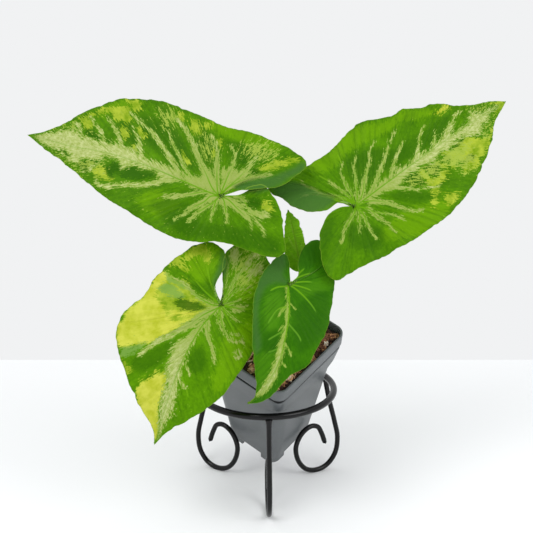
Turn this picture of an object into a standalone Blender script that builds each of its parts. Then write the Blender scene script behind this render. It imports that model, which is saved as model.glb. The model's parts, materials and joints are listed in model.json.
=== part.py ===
"""Variegated arrowhead plant in a tilted square nursery pot, held by a black scrolled wire stand.

Run with: blender --background --python part.py
Lengths below are millimetres in the stand's own frame: its origin is on the floor under the
middle of the ring, +Z is up and the front leg points along -Y. The finished model is in metres.
"""
import math
import random

import bmesh
import bpy
from mathutils import Euler, Matrix, Vector, noise

MM = 0.001
GAP = 0.3                      # clear space left between two pieces that touch

# Stand: one wire ring on three scrolled wire legs
RING_RADIUS = 49.5
RING_HEIGHT = 78.0
RING_WIRE = 2.5                # half the wire's thickness
LEG_WIRE = 1.9
FOOT_FLAT = 0.35               # how far each foot's wire is worn flat
LEG_AZIMUTHS = {"front": -87.5, "right": 28.8, "left": 146.1}
LEG_ROUTE = [                  # distance from the ring's axis, height
    (50.6, 75.5), (54.3, 57.8), (59.3, 39.0), (62.2, 25.0), (60.4, 12.5), (53.5, 4.2),
    (44.2, 1.75), (34.8, 4.6), (27.9, 13.2), (25.8, 24.8), (30.9, 34.9), (38.8, 39.1),
    (44.6, 37.4), (48.2, 31.0), (51.1, 22.6),
]
LEG_STEP = 4.6                 # spacing of the points that the wire is bent through

# Pot: square and tapered, standing on four corner feet
POT_HEIGHT = 118.0
POT_RIM_SIDE = 75.0
POT_BASE_SIDE = 46.0
POT_WALL = 1.2
POT_BAND = 13.5                # height of the straight band round the rim
POT_SHOULDER = 15.0            # height of the fuller corners under the band
POT_FOOT = 8.0
POT_FOOT_ARM = 14.0            # how far a foot runs along each side
POT_PLACE = (2.8, 35.7, 25.7)
POT_TURN = (29.7, -1.9, 5.4)
DRAIN_RADIUS = 3.6
DRAIN_SPREAD = 13.0

# Potting mix: bark chips pressed into a crumbly bed
MIX_DROP = 7.5                 # how far the bed lies under the rim
MIX_RELIEF = 1.3
CHIP_COUNT = 32
CHIP_SEED = 7
STEM_SINK = 12.0               # how deep stems stand in their holes

# Plant
CROWN_PLACE = (3.8, -20.5)
CROWN_RADIUS = 4.2
CROWN_RISE = 13.0
PETIOLE_RADIUS = 1.45
PETIOLE_BASE = 2.1
BLADE_THICKNESS = 0.8
RIB_THICKNESS = 2.1            # blade and midrib together, at the stalk
RIB_HALF_WIDTH = 1.5
RIB_SHARE = 0.05               # the same width as a share of a lobe's length
SINUS_ANGLE = math.radians(22)  # how wide of the sinus the lobes' veins set out
COLUMNS = 32                   # rows of points from tip to sinus
ACROSS = 5                     # points from midrib to margin
YOUNG_COLUMNS = 18
YOUNG_ACROSS = 3

# Each blade is drawn flat, in millimetres from the point where its stalk joins it: first number
# along the midrib towards the tip, second to the side. Both sides run from the tip to the sinus.
# junction and turn place the flat blade, and the rest bends it:
# arch lifts the middle of the midrib, fold lifts the sides and roll turns the margins down,
# lap raises the first side's lobe over the other, wave is the height of the waves in the margin,
# and sinus is where the two basal lobes part, just behind the stalk.
BLADES = {
    "upper_left": dict(
        junction=(-31, -36, 234), turn=(-53, -12, 159), length=148, reach=50,
        arch=9, fold=0.10, roll=8, lap=-1.6, wave=0.9, waves=9, sinus=(-2.6, -1.7),
        midrib=[(148, 1), (111, 1), (82, -2), (53, -2), (32, -1), (12, 0), (0, 0)],
        first=[(132, 7), (105, 16), (75, 27), (44, 34), (18, 38), (0, 34), (-15, 28), (-33, 27),
               (-47, 25), (-53, 19), (-48, 8), (-39, -8), (-31, -15), (-23, -17.5), (-16.5, -13), (-11, -6)],
        second=[(134, -5), (115, -22), (98, -38), (74, -48), (47, -50), (18, -48), (-8, -51),
                (-32, -49), (-44, -45), (-43, -36), (-35, -22), (-25, -16), (-17, -11), (-11, -8.5)],
    ),
    "upper_right": dict(
        junction=(61, -23, 223), turn=(47, -25, 31), length=141, reach=50,
        arch=6, fold=0.12, roll=8, lap=0.0, wave=1.1, waves=10, sinus=(-2.2, 2.1),
        midrib=[(141, -1), (107, 0), (76, 0), (53, 0), (26, 0), (0, 0)],
        first=[(129, 6), (116, 10), (98, 22), (79, 31), (61, 37), (39, 45), (11, 42), (-7, 43),
               (-27, 49), (-37, 48), (-36, 36), (-29, 19), (-18, 10), (-7, 9)],
        second=[(134, -4), (122, -9), (109, -19), (92, -29), (72, -38), (51, -43), (25, -43),
                (-2, -40), (-26, -35), (-43, -32), (-43, -20), (-33, -3), (-20, 6), (-9, 6)],
    ),
    "lower_left": dict(
        junction=(-30, -58, 164), turn=(-60, 59, -147), length=104, reach=50,
        arch=9, fold=0.10, roll=8, lap=-1.6, wave=0.8, waves=8, sinus=(-2.6, -1.7),
        midrib=[(104, 0), (88, -3), (71, -6), (51, -8), (33, -8), (17, -6), (0, 0)],
        first=[(91, 4), (78, 13), (56, 25), (40, 29), (20, 32), (-5, 32), (-26, 27), (-40, 19),
               (-46, 6), (-43, -5), (-34, -11), (-25, -10), (-17, -6.5), (-9, -2.5)],
        second=[(94, -6), (82, -23), (63, -43), (48, -55), (31, -57), (17, -50), (4, -48),
                (-16, -41), (-33, -28), (-36, -20), (-32, -11), (-25, -8), (-15, -9.5), (-8, -8)],
    ),
    "front": dict(
        junction=(15, -54, 177), turn=(-44, 62, -134), length=84, reach=28,
        arch=13, fold=0.16, roll=4, lap=0.0, wave=0.7, waves=6, sinus=(-2.2, 1.2),
        midrib=[(84, 0), (74, 6), (60, 9), (47, 10), (36, 9), (22, 7), (10, 4), (0, 0)],
        first=[(80, 8), (74, 13), (58, 19), (46, 29), (34, 31), (19, 34), (6, 32), (-13, 30),
               (-27, 26), (-37, 15), (-35, 7), (-27, 2.2), (-17, 2), (-9, 4.6)],
        second=[(78, 3), (63, -2), (50, -8.5), (38, -13), (22, -18), (11, -20), (-1, -19),
                (-14, -14), (-20, -8), (-16, -4), (-9, -1.5)],
    ),
    "young": dict(
        junction=(27.9, -20, 174), turn=(-92, -73, 162), length=46, reach=9,
        arch=-1, fold=0.25, roll=0, lap=0.0, wave=0.0, waves=0, sinus=(0, 0),
        midrib=[(46, 0), (35, 0.3), (25, 1.4), (14, 2), (5, 1), (0, 0)],
        first=[(41, 3.2), (36, 5.2), (29, 7.8), (22, 9.4), (15, 11), (8.5, 11), (3.5, 7.5)],
        second=[(43.5, -2), (39, -5), (35, -5.7), (30, -5.9), (24, -5.4), (18, -4.9), (10, -3.8), (4, -2)],
    ),
}

PETIOLES = {                   # where each stalk leaves the mix, and its route up to its blade
    "upper_left": [(-3, -18), (-4, -18, 132), (-8, -17, 155), (-14, -18, 178), (-22, -21, 202),
                   (-29, -26, 220)],
    "upper_right": [(11, -16.5), (12, -15, 134), (21, -9, 154), (35, -5, 172),
                    (49, -6, 192), (57, -13, 209)],
    "lower_left": [(-3, -25), (-5, -26, 126), (-12, -33, 138), (-20, -41, 148), (-27, -49, 156)],
    "front": [(4.5, -28.5), (5, -29, 127), (8, -31, 143), (12, -36, 158), (14, -44, 168)],
    "young": [(12, -23.5), (13, -23, 130), (17, -22, 146), (23, -20.5, 162)],
}


def clear_scene():
    for obj in list(bpy.data.objects):
        bpy.data.objects.remove(obj, do_unlink=True)


def collection(name):
    group = bpy.data.collections.new(name)
    bpy.context.scene.collection.children.link(group)
    return group


def linear(channel):
    return channel / 12.92 if channel <= 0.04045 else ((channel + 0.055) / 1.055) ** 2.4


def material(name, colour, roughness, metallic=0.0):
    """A plain Principled finish from an sRGB hex colour."""
    mat = bpy.data.materials.new(name)
    mat.use_nodes = True
    shader = mat.node_tree.nodes["Principled BSDF"]
    rgb = [linear(int(colour[i:i + 2], 16) / 255) for i in (1, 3, 5)]
    shader.inputs["Base Color"].default_value = (*rgb, 1.0)
    shader.inputs["Roughness"].default_value = roughness
    shader.inputs["Metallic"].default_value = metallic
    return mat


def spline(points, step=None, count=None):
    """Points along a smooth centripetal curve through the given ones, evenly spaced."""
    pts = [Vector(p) for p in points]
    ends = [pts[0] * 2 - pts[1]] + pts + [pts[-1] * 2 - pts[-2]]
    dense = [pts[0]]
    for a, b, c, d in zip(ends, ends[1:], ends[2:], ends[3:]):
        ta = 0.0
        tb = ta + (b - a).length ** 0.5
        tc = tb + (c - b).length ** 0.5
        td = tc + (d - c).length ** 0.5
        for i in range(1, 17):
            t = tb + (tc - tb) * i / 16
            ab = a.lerp(b, (t - ta) / (tb - ta))
            bc = b.lerp(c, (t - tb) / (tc - tb))
            cd = c.lerp(d, (t - tc) / (td - tc))
            abc = ab.lerp(bc, (t - ta) / (tc - ta))
            bcd = bc.lerp(cd, (t - tb) / (td - tb))
            dense.append(abc.lerp(bcd, (t - tb) / (tc - tb)))
    lengths = [0.0]
    for p, q in zip(dense, dense[1:]):
        lengths.append(lengths[-1] + (q - p).length)
    count = count or max(2, round(lengths[-1] / step))
    even = []
    seek = 0
    for i in range(count + 1):
        want = lengths[-1] * i / count
        while seek < len(lengths) - 2 and lengths[seek + 1] < want:
            seek += 1
        part = (want - lengths[seek]) / max(lengths[seek + 1] - lengths[seek], 1e-9)
        even.append(dense[seek].lerp(dense[seek + 1], part))
    return even


def add_mesh(name, bm, mat, group, place=Matrix.Identity(4)):
    """Turn a bmesh drawn in millimetres into a named object in metres."""
    mesh = bpy.data.meshes.new(name)
    bmesh.ops.recalc_face_normals(bm, faces=bm.faces)
    bmesh.ops.scale(bm, vec=(MM, MM, MM), verts=bm.verts)
    bm.to_mesh(mesh)
    bm.free()
    mesh.shade_smooth()
    mesh.set_sharp_from_angle(angle=math.radians(35))
    obj = bpy.data.objects.new(name, mesh)
    obj.data.materials.append(mat)
    obj.matrix_world = place
    group.objects.link(obj)
    return obj


def settle(obj):
    """Replace an object's mesh with what its modifiers make of it."""
    bpy.context.view_layer.update()
    graph = bpy.context.evaluated_depsgraph_get()
    mesh = bpy.data.meshes.new_from_object(obj.evaluated_get(graph))
    obj.modifiers.clear()
    obj.data = mesh


def boolean(obj, operation, group, solver="EXACT"):
    cut = obj.modifiers.new(operation.title(), "BOOLEAN")
    cut.operation = operation
    cut.operand_type = "COLLECTION"
    cut.collection = group
    cut.solver = solver


def drop(group):
    for obj in list(group.objects):
        bpy.data.objects.remove(obj, do_unlink=True)
    bpy.data.collections.remove(group)


def place_of(position, turn):
    """Matrix in metres of a piece drawn about its own origin."""
    angles = Euler([math.radians(a) for a in turn], "XYZ")
    return Matrix.Translation(Vector(position) * MM) @ angles.to_matrix().to_4x4()


def wire(name, points, radius, mat, group, radii=None):
    """A round wire or stalk through the given points, made a closed mesh."""
    curve = bpy.data.curves.new(name, "CURVE")
    curve.dimensions = "3D"
    curve.bevel_depth = radius * MM
    curve.bevel_resolution = 2
    curve.use_fill_caps = True
    line = curve.splines.new("POLY")
    line.points.add(len(points) - 1)
    for i, p in enumerate(points):
        line.points[i].co = (*(Vector(p) * MM), 1.0)
        line.points[i].radius = radii[i] / radius if radii else 1.0
    source = bpy.data.objects.new(name + "_line", curve)
    group.objects.link(source)
    bpy.context.view_layer.update()
    graph = bpy.context.evaluated_depsgraph_get()
    mesh = bpy.data.meshes.new_from_object(source.evaluated_get(graph))
    bpy.data.objects.remove(source, do_unlink=True)
    bm = bmesh.new()
    bm.from_mesh(mesh)
    bpy.data.meshes.remove(mesh)
    bmesh.ops.remove_doubles(bm, verts=bm.verts, dist=1e-6)
    bmesh.ops.scale(bm, vec=(1 / MM, 1 / MM, 1 / MM), verts=bm.verts)
    return add_mesh(name, bm, mat, group)


def build_ring(mat, group):
    bpy.ops.mesh.primitive_torus_add(
        location=(0, 0, RING_HEIGHT * MM), major_segments=48, minor_segments=10,
        major_radius=RING_RADIUS * MM, minor_radius=RING_WIRE * MM)
    ring = bpy.context.object
    ring.name = "stand_ring"
    ring.data.shade_smooth()
    ring.data.materials.append(mat)
    for owner in list(ring.users_collection):
        owner.objects.unlink(ring)
    group.objects.link(ring)
    return ring


def build_leg(side, mat, group):
    """One wire leg, bent in the upright plane through the ring's axis, flat under its foot."""
    azimuth = math.radians(LEG_AZIMUTHS[side])
    outward = Vector((math.cos(azimuth), math.sin(azimuth), 0.0))
    route = [outward * r + Vector((0, 0, z)) for r, z in LEG_ROUTE]
    leg = wire("stand_leg_" + side, spline(route, step=LEG_STEP), LEG_WIRE, mat, group)
    bm = bmesh.new()
    bm.from_mesh(leg.data)
    lowest = min(v.co.z for v in bm.verts)
    bmesh.ops.translate(bm, vec=(0, 0, -lowest - FOOT_FLAT * MM), verts=bm.verts)
    cut = bmesh.ops.bisect_plane(
        bm, geom=bm.verts[:] + bm.edges[:] + bm.faces[:], dist=1e-6,
        plane_co=(0, 0, 0), plane_no=(0, 0, 1), clear_inner=True)
    rim = [e for e in cut["geom_cut"] if isinstance(e, bmesh.types.BMEdge)]
    bmesh.ops.edgeloop_fill(bm, edges=rim)
    bmesh.ops.recalc_face_normals(bm, faces=bm.faces)
    bm.to_mesh(leg.data)
    bm.free()
    return leg


def rounded_square(side, radius, height, per_corner=5):
    half = side / 2 - radius
    loop = []
    for quarter in range(4):
        turn = quarter * math.pi / 2 + math.pi / 4
        corner = Vector((half * math.sqrt(2), 0)).to_3d()
        for i in range(per_corner + 1):
            angle = -math.pi / 4 + i * math.pi / 2 / per_corner
            p = corner + Vector((math.cos(angle), math.sin(angle), 0)) * radius
            loop.append(Matrix.Rotation(turn + math.pi / 4, 3, "Z") @ p)
            loop[-1].z = height
    return loop


def loft(bm, loops, close_ends=True):
    rings = [[bm.verts.new(p) for p in loop] for loop in loops]
    for low, high in zip(rings, rings[1:]):
        for i in range(len(low)):
            j = (i + 1) % len(low)
            bm.faces.new((low[i], low[j], high[j], high[i]))
    if close_ends:
        bm.faces.new(reversed(rings[0]))
        bm.faces.new(rings[-1])
    return rings


def pot_side(height):
    """Outer side of the tapered body at a height over its feet."""
    top = POT_HEIGHT - POT_BAND
    return POT_BASE_SIDE + (POT_RIM_SIDE - 4.0 - POT_BASE_SIDE) * (height - POT_FOOT) / (top - POT_FOOT)


def box(name, size, centre, group):
    bm = bmesh.new()
    bmesh.ops.create_cube(bm, size=1.0)
    bmesh.ops.scale(bm, vec=size, verts=bm.verts)
    bmesh.ops.translate(bm, vec=centre, verts=bm.verts)
    return add_mesh(name, bm, None, group)


def build_pot(mat, group):
    band = POT_HEIGHT - POT_BAND
    step = band - POT_SHOULDER
    outer = [
        rounded_square(POT_BASE_SIDE - 3.4, 7.0, 0.0),
        rounded_square(POT_BASE_SIDE - 2.6, 7.0, POT_FOOT - 1.0),
        rounded_square(POT_BASE_SIDE, 8.0, POT_FOOT),
        rounded_square(pot_side(step - 4.5), 13.0, step - 4.5),
        rounded_square(pot_side(step), 6.0, step),
        rounded_square(pot_side(band), 6.0, band),
        rounded_square(POT_RIM_SIDE - 0.8, 7.5, band),
        rounded_square(POT_RIM_SIDE, 8.0, POT_HEIGHT - 0.8),
        rounded_square(POT_RIM_SIDE - 0.8, 7.6, POT_HEIGHT),
    ]
    thin = 2 * POT_WALL
    floor = POT_FOOT + POT_WALL
    inner = [
        rounded_square(POT_RIM_SIDE - thin - 0.4, 7.0, POT_HEIGHT),
        rounded_square(pot_side(band) - thin + 0.6, 5.4, band),
        rounded_square(pot_side(step) - thin, 5.4, step),
        rounded_square(pot_side(step - 4.5) - thin, 12.0, step - 4.5),
        rounded_square(pot_side(floor) - thin, 7.2, floor),
    ]
    bm = bmesh.new()
    loft(bm, outer + inner)
    place = place_of(POT_PLACE, POT_TURN)
    pot = add_mesh("pot", bm, mat, group, place)

    cutters = collection("pot_cutters")
    gap = POT_BASE_SIDE - 2 * POT_FOOT_ARM
    reach = POT_BASE_SIDE + 10.0
    depth = POT_FOOT + 10.0
    hollow = POT_BASE_SIDE - 3.4 - 2 * 2.2
    low = POT_FOOT - depth / 2 - 0.2
    box("between_feet_x", (reach, gap, depth), (0, 0, low), cutters)
    box("between_feet_y", (gap, reach, depth), (0, 0, low - 0.1), cutters)
    box("behind_feet", (hollow, hollow, depth), (0, 0, low - 0.2), cutters)
    spots = [(0, 0)] + [(DRAIN_SPREAD * x, DRAIN_SPREAD * y) for x in (-1, 1) for y in (-1, 1)]
    for i, (x, y) in enumerate(spots):
        bm = bmesh.new()
        bmesh.ops.create_cone(bm, cap_ends=True, segments=12, radius1=DRAIN_RADIUS,
                              radius2=DRAIN_RADIUS, depth=3 * POT_WALL + 1.0)
        bmesh.ops.translate(bm, vec=(x, y, floor - POT_WALL / 2), verts=bm.verts)
        add_mesh("drain_%d" % i, bm, None, cutters)
    turn_on = Matrix.Rotation(math.radians(45), 4, "Z")
    for cutter in cutters.objects:
        cutter.matrix_world = place @ turn_on
        cutter.hide_render = True
        cutter.display_type = "WIRE"
    boolean(pot, "DIFFERENCE", cutters)
    return pot


def stalk_points(name, end=None):
    """Points of one stalk: straight through the mix, then curved up to its blade."""
    x, y = PETIOLES[name][0]
    surface = mix_height(x, y)
    root = Vector((x, y, surface - STEM_SINK))
    route = [root, Vector((x, y, surface + 2.0))] + [Vector(p) for p in PETIOLES[name][1:]]
    if end is not None:
        route.append(end)
    return route


def mix_height(x, y):
    """Height of the bed's surface over a point, in the stand's frame."""
    frame = place_of(POT_PLACE, POT_TURN)
    up = frame.to_3x3() @ Vector((0, 0, 1))
    middle = frame @ Vector((0, 0, (POT_HEIGHT - MIX_DROP) * MM)) / MM
    return middle.z - (up.x * (x - middle.x) + up.y * (y - middle.y)) / up.z


def build_mix(mat, group):
    top = POT_HEIGHT - MIX_DROP
    band = POT_HEIGHT - POT_BAND
    step = band - POT_SHOULDER
    thin = 2 * (POT_WALL + GAP)
    floor = POT_FOOT + POT_WALL + GAP
    sides = [
        rounded_square(pot_side(floor) - thin, 7.0, floor),
        rounded_square(pot_side(step - 4.5) - thin, 11.8, step - 4.5),
        rounded_square(pot_side(step) - thin, 5.2, step + 0.4),
        rounded_square(pot_side(band) - thin, 5.2, band),
        rounded_square(pot_side(band) - thin + 0.6, 5.2, top - 1.0),
    ]
    rim = sides[-1]
    rows = 6
    for k in range(1, rows):
        row = []
        for p in rim:
            q = p * (1 - k / rows)
            lift = noise.noise(Vector((q.x, q.y, 3.0)) * 0.14) + noise.noise(Vector((q.x, q.y, 9.0)) * 0.35)
            row.append(Vector((q.x, q.y, top + MIX_RELIEF * lift)))
        sides.append(row)
    bm = bmesh.new()
    loft(bm, sides)
    bmesh.ops.triangulate(bm, faces=bm.faces)
    place = place_of(POT_PLACE, POT_TURN)
    mix = add_mesh("potting_mix", bm, mat, group, place)

    chips = collection("chips")
    draw = random.Random(CHIP_SEED)
    reach = POT_RIM_SIDE / 2 - 9.0
    inverse = place.inverted()
    stems = [(inverse @ (Vector((*PETIOLES[n][0], mix_height(*PETIOLES[n][0]))) * MM)) / MM for n in PETIOLES]
    stems.append((inverse @ (Vector((*CROWN_PLACE, mix_height(*CROWN_PLACE))) * MM)) / MM)
    made = 0
    while made < CHIP_COUNT:
        x = draw.uniform(-reach, reach)
        y = draw.uniform(-reach, reach)
        turned = Matrix.Rotation(math.radians(45), 3, "Z") @ Vector((x, y, 0))
        if min((turned.xy - s.xy).length for s in stems) < 9.5:
            continue
        bm = bmesh.new()
        bmesh.ops.create_cube(bm, size=1.0)
        for v in bm.verts:
            v.co += Vector([draw.uniform(-0.16, 0.16) for _ in range(3)])
        bmesh.ops.scale(bm, vec=(draw.uniform(5, 10), draw.uniform(3.5, 6), draw.uniform(2, 3.6)), verts=bm.verts)
        tilt = Euler((draw.uniform(-0.5, 0.5), draw.uniform(-0.5, 0.5), draw.uniform(0, math.tau)))
        bmesh.ops.rotate(bm, matrix=tilt.to_matrix(), verts=bm.verts)
        bmesh.ops.translate(bm, vec=(turned.x, turned.y, top + draw.uniform(-0.2, 0.9)), verts=bm.verts)
        bmesh.ops.triangulate(bm, faces=bm.faces)
        add_mesh("chip_%d" % made, bm, None, chips, place)
        made += 1
    boolean(mix, "UNION", chips)
    settle(mix)
    drop(chips)

    holes = collection("stem_holes")
    for name, radius in [(n, PETIOLE_BASE) for n in PETIOLES] + [("crown", CROWN_RADIUS)]:
        x, y = CROWN_PLACE if name == "crown" else PETIOLES[name][0]
        bm = bmesh.new()
        wide = radius + 2 * GAP
        bmesh.ops.create_cone(bm, cap_ends=True, segments=14, radius1=wide, radius2=wide, depth=STEM_SINK * 2)
        bmesh.ops.translate(bm, vec=(x, y, mix_height(x, y) - GAP), verts=bm.verts)
        hole = add_mesh("hole_" + name, bm, None, holes)
        hole.hide_render = True
        hole.display_type = "WIRE"
    boolean(mix, "DIFFERENCE", holes)
    return mix


def build_crown(mat, group):
    """The short stem that the stalks rise around, with a domed tip."""
    x, y = CROWN_PLACE
    base = mix_height(x, y) - STEM_SINK
    tall = STEM_SINK + CROWN_RISE
    profile = [(0, 0), (0.8, 0), (1.0, 2.0), (1.0, tall * 0.55), (0.86, tall * 0.8), (0.5, tall * 0.96), (0, tall)]
    bm = bmesh.new()
    rows = []
    sides = 12
    for r, z in profile[1:-1]:
        rows.append([Vector((x + CROWN_RADIUS * r * math.cos(i * math.tau / sides),
                             y + CROWN_RADIUS * r * math.sin(i * math.tau / sides), base + z))
                     for i in range(sides)])
    loft(bm, rows)
    return add_mesh("crown", bm, mat, group)


def smooth_step(x):
    x = min(1.0, max(0.0, x))
    return x * x * (3 - 2 * x)


def blade_height(leaf, u, v, first, s, t):
    """Height of the bent blade over its flat outline."""
    x = u / leaf["length"]
    h = 4 * leaf["arch"] * x * ((1 - x) if x > 0 else 1.0)
    h += leaf["fold"] * (math.sqrt(v * v + 9.0) - 3.0)
    h -= leaf["roll"] * (v / leaf["reach"]) ** 2
    side = 1.0 if first else -1.0
    free = smooth_step((math.hypot(u, v) - 5.0) / 18.0)
    h += side * leaf["lap"] * free * smooth_step(-u / 10.0)
    h += leaf["wave"] * free * smooth_step(8 * s) * t ** 3 * math.sin(math.tau * leaf["waves"] * s + 1.3 * side)
    return h


def lobe_point(leaf, margin, first, t):
    """A point on the way from the stalk to a lobe's margin, led round the gap between the lobes."""
    reach = margin.length
    gap = math.atan2(leaf["sinus"][1], leaf["sinus"][0])
    side = 1.0 if first else -1.0
    away = side * (gap - math.atan2(margin.y, margin.x))
    away = (away + math.pi / 2) % math.tau - math.pi / 2
    least = SINUS_ANGLE * smooth_step((reach - 4.0) / 5.0)
    bend = min(1.0, max(0.0, least - away) / SINUS_ANGLE)
    leave = gap - side * max(away, least)
    lead = Vector((math.cos(leave), math.sin(leave), 0)) * reach * (0.5 + 0.35 * bend)
    return lead * 2 * t * (1 - t) + margin * t * t


def is_lobed(leaf):
    return any(p[0] < 0 for p in leaf["first"])


def build_blade(name, leaf, mat, group):
    """One leaf blade: a grid from tip to sinus and from midrib to both margins, bent and thickened."""
    lobed = is_lobed(leaf)
    tip = leaf["midrib"][0]
    columns, across = (COLUMNS, ACROSS) if lobed else (YOUNG_COLUMNS, YOUNG_ACROSS)
    edges = []
    for side in ("first", "second"):
        edges.append(spline([(*p, 0) for p in [tip] + leaf[side] + [leaf["sinus"]]], count=columns))
    ahead = columns
    if lobed:
        ahead = max(i for i, p in enumerate(edges[0]) if p.x > 0.1 * leaf["length"])
    rib = spline([(*p, 0) for p in leaf["midrib"]], count=ahead)
    rib += [rib[-1]] * (columns - ahead)
    bm = bmesh.new()
    layer = bm.verts.layers.float.new("rib")
    bmesh.ops.create_grid(bm, x_segments=columns, y_segments=2 * across, size=0.5)
    for vert in bm.verts:
        column = round((vert.co.x + 0.5) * columns)
        row = round((vert.co.y + 0.5) * 2 * across) - across
        first = row > 0
        s = column / columns
        margin = edges[0 if first else 1][column]
        span = max((margin - rib[column]).length, 1e-6)
        near = min(RIB_HALF_WIDTH / span, 0.3) if column < ahead else RIB_SHARE
        t = 0.0 if row == 0 else near + (1 - near) * (abs(row) - 1) / (across - 1)
        p = rib[column].lerp(margin, t) if column < ahead or not lobed else lobe_point(leaf, margin, first, t)
        vert[layer] = (1 - 0.75 * s_of(p.x, leaf)) if row == 0 and p.x >= 0 else 0.0
        vert.co = (p.x, p.y, blade_height(leaf, p.x, p.y, first, s, t))
    bmesh.ops.remove_doubles(bm, verts=bm.verts, dist=0.02)
    bmesh.ops.triangulate(bm, faces=bm.faces)
    weights = [v[layer] for v in bm.verts]
    place = place_of(leaf["junction"], leaf["turn"])
    blade = add_mesh("blade_" + name, bm, mat, group, place)
    if sum(p.normal.z for p in blade.data.polygons) < 0:
        blade.data.flip_normals()
    rib_group = blade.vertex_groups.new(name="rib")
    for i, w in enumerate(weights):
        rib_group.add([i], w, "REPLACE")
    shell = blade.modifiers.new("Thickness", "SOLIDIFY")
    shell.thickness = RIB_THICKNESS * MM
    shell.offset = -1.0
    shell.vertex_group = "rib"
    shell.thickness_vertex_group = BLADE_THICKNESS / RIB_THICKNESS
    return blade


def s_of(u, leaf):
    return max(0.0, min(1.0, u / leaf["length"]))


def build_petiole(name, leaf, mat, group):
    """The stalk of one leaf, ending just under the blade where the two lobes meet."""
    frame = place_of(leaf["junction"], leaf["turn"]).to_3x3()
    if is_lobed(leaf):
        end = Vector((0, 0, -(RIB_THICKNESS + GAP + PETIOLE_RADIUS * 0.4)))
    else:
        end = Vector((-(GAP + PETIOLE_RADIUS * 0.9), 0, -RIB_THICKNESS / 2))
    end = Vector(leaf["junction"]) + frame @ end
    points = spline(stalk_points(name, end), step=7.0)
    count = len(points)
    radii = []
    for i in range(count):
        thick = smooth_step(1 - i / (count - 1) * 2.2)
        radii.append(PETIOLE_RADIUS + (PETIOLE_BASE - PETIOLE_RADIUS) * thick)
    return wire("petiole_" + name, points, PETIOLE_RADIUS, mat, group, radii)


def stand_on_origin(group):
    """Hang every piece on one empty and bring the middle of the box's underside to the origin."""
    bpy.context.view_layer.update()
    graph = bpy.context.evaluated_depsgraph_get()
    corners = []
    for obj in group.objects:
        shape = obj.evaluated_get(graph)
        corners += [shape.matrix_world @ v.co for v in shape.data.vertices]
    low = Vector([min(c[i] for c in corners) for i in range(3)])
    high = Vector([max(c[i] for c in corners) for i in range(3)])
    root = bpy.data.objects.new("arrowhead_plant", None)
    group.objects.link(root)
    for obj in list(bpy.data.objects):
        if obj is not root and obj.parent is None:
            obj.parent = root
    root.location = (-(low.x + high.x) / 2, -(low.y + high.y) / 2, -low.z)
    bpy.context.view_layer.update()


def main():
    clear_scene()
    plant = collection("variegated_arrowhead_plant")
    black = material("black_powder_coat", "#1c1c1d", 0.42, 0.0)
    plastic = material("grey_pot_plastic", "#5d6064", 0.5)
    bark = material("bark_potting_mix", "#3a2519", 0.95)
    stalk = material("green_stalk", "#7fa83a", 0.45)
    green = material("variegated_leaf", "#4f8f14", 0.42)
    dark = material("dark_green_leaf", "#3d7d10", 0.42)
    build_ring(black, plant)
    for side in LEG_AZIMUTHS:
        build_leg(side, black, plant)
    build_pot(plastic, plant)
    build_mix(bark, plant)
    build_crown(stalk, plant)
    for name, leaf in BLADES.items():
        build_blade(name, leaf, dark if name == "front" else green, plant)
        build_petiole(name, leaf, stalk, plant)
    stand_on_origin(plant)


main()
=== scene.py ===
"""Looks of the variegated arrowhead plant in its tilted nursery pot and scrolled wire stand.

Lengths are millimetres in the stand's frame, as in the part's source: its origin is on the floor
under the middle of the ring, +Z is up and -Y is towards the camera. to_metres() puts them in the frame.
"""

import json
import math
from functools import partial

import bmesh
import bpy
import numpy as np
from mathutils import Euler, Matrix, Vector, noise

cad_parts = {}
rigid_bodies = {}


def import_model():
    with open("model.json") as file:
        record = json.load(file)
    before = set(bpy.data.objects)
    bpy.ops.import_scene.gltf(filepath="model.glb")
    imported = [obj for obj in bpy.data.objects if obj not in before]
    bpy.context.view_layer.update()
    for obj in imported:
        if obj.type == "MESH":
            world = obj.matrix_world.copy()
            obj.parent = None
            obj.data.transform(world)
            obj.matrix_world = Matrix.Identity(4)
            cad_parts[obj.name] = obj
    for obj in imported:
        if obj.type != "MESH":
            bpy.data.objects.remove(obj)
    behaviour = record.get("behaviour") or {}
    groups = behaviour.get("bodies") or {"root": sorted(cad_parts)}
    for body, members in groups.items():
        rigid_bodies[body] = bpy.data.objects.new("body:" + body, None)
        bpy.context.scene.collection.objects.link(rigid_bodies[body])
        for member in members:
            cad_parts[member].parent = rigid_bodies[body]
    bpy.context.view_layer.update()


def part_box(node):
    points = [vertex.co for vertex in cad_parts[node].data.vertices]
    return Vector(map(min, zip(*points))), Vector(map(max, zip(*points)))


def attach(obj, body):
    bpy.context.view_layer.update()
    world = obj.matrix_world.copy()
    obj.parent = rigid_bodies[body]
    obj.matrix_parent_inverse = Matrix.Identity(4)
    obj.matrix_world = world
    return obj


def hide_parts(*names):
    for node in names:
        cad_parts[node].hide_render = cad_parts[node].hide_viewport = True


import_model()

MM = 0.001
TAU = math.tau
ring_low, ring_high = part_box("stand_ring")
STAND_ORIGIN = Vector(((ring_low.x + ring_high.x) / 2, (ring_low.y + ring_high.y) / 2, 0))

# Stand
RING_RADIUS = 49.5
RING_HEIGHT = 78.0
RING_WIRE = 2.5
LEG_WIRE = 1.9
FOOT_FLAT = 0.35               # how much of a leg's underside is flattened on the floor
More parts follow.
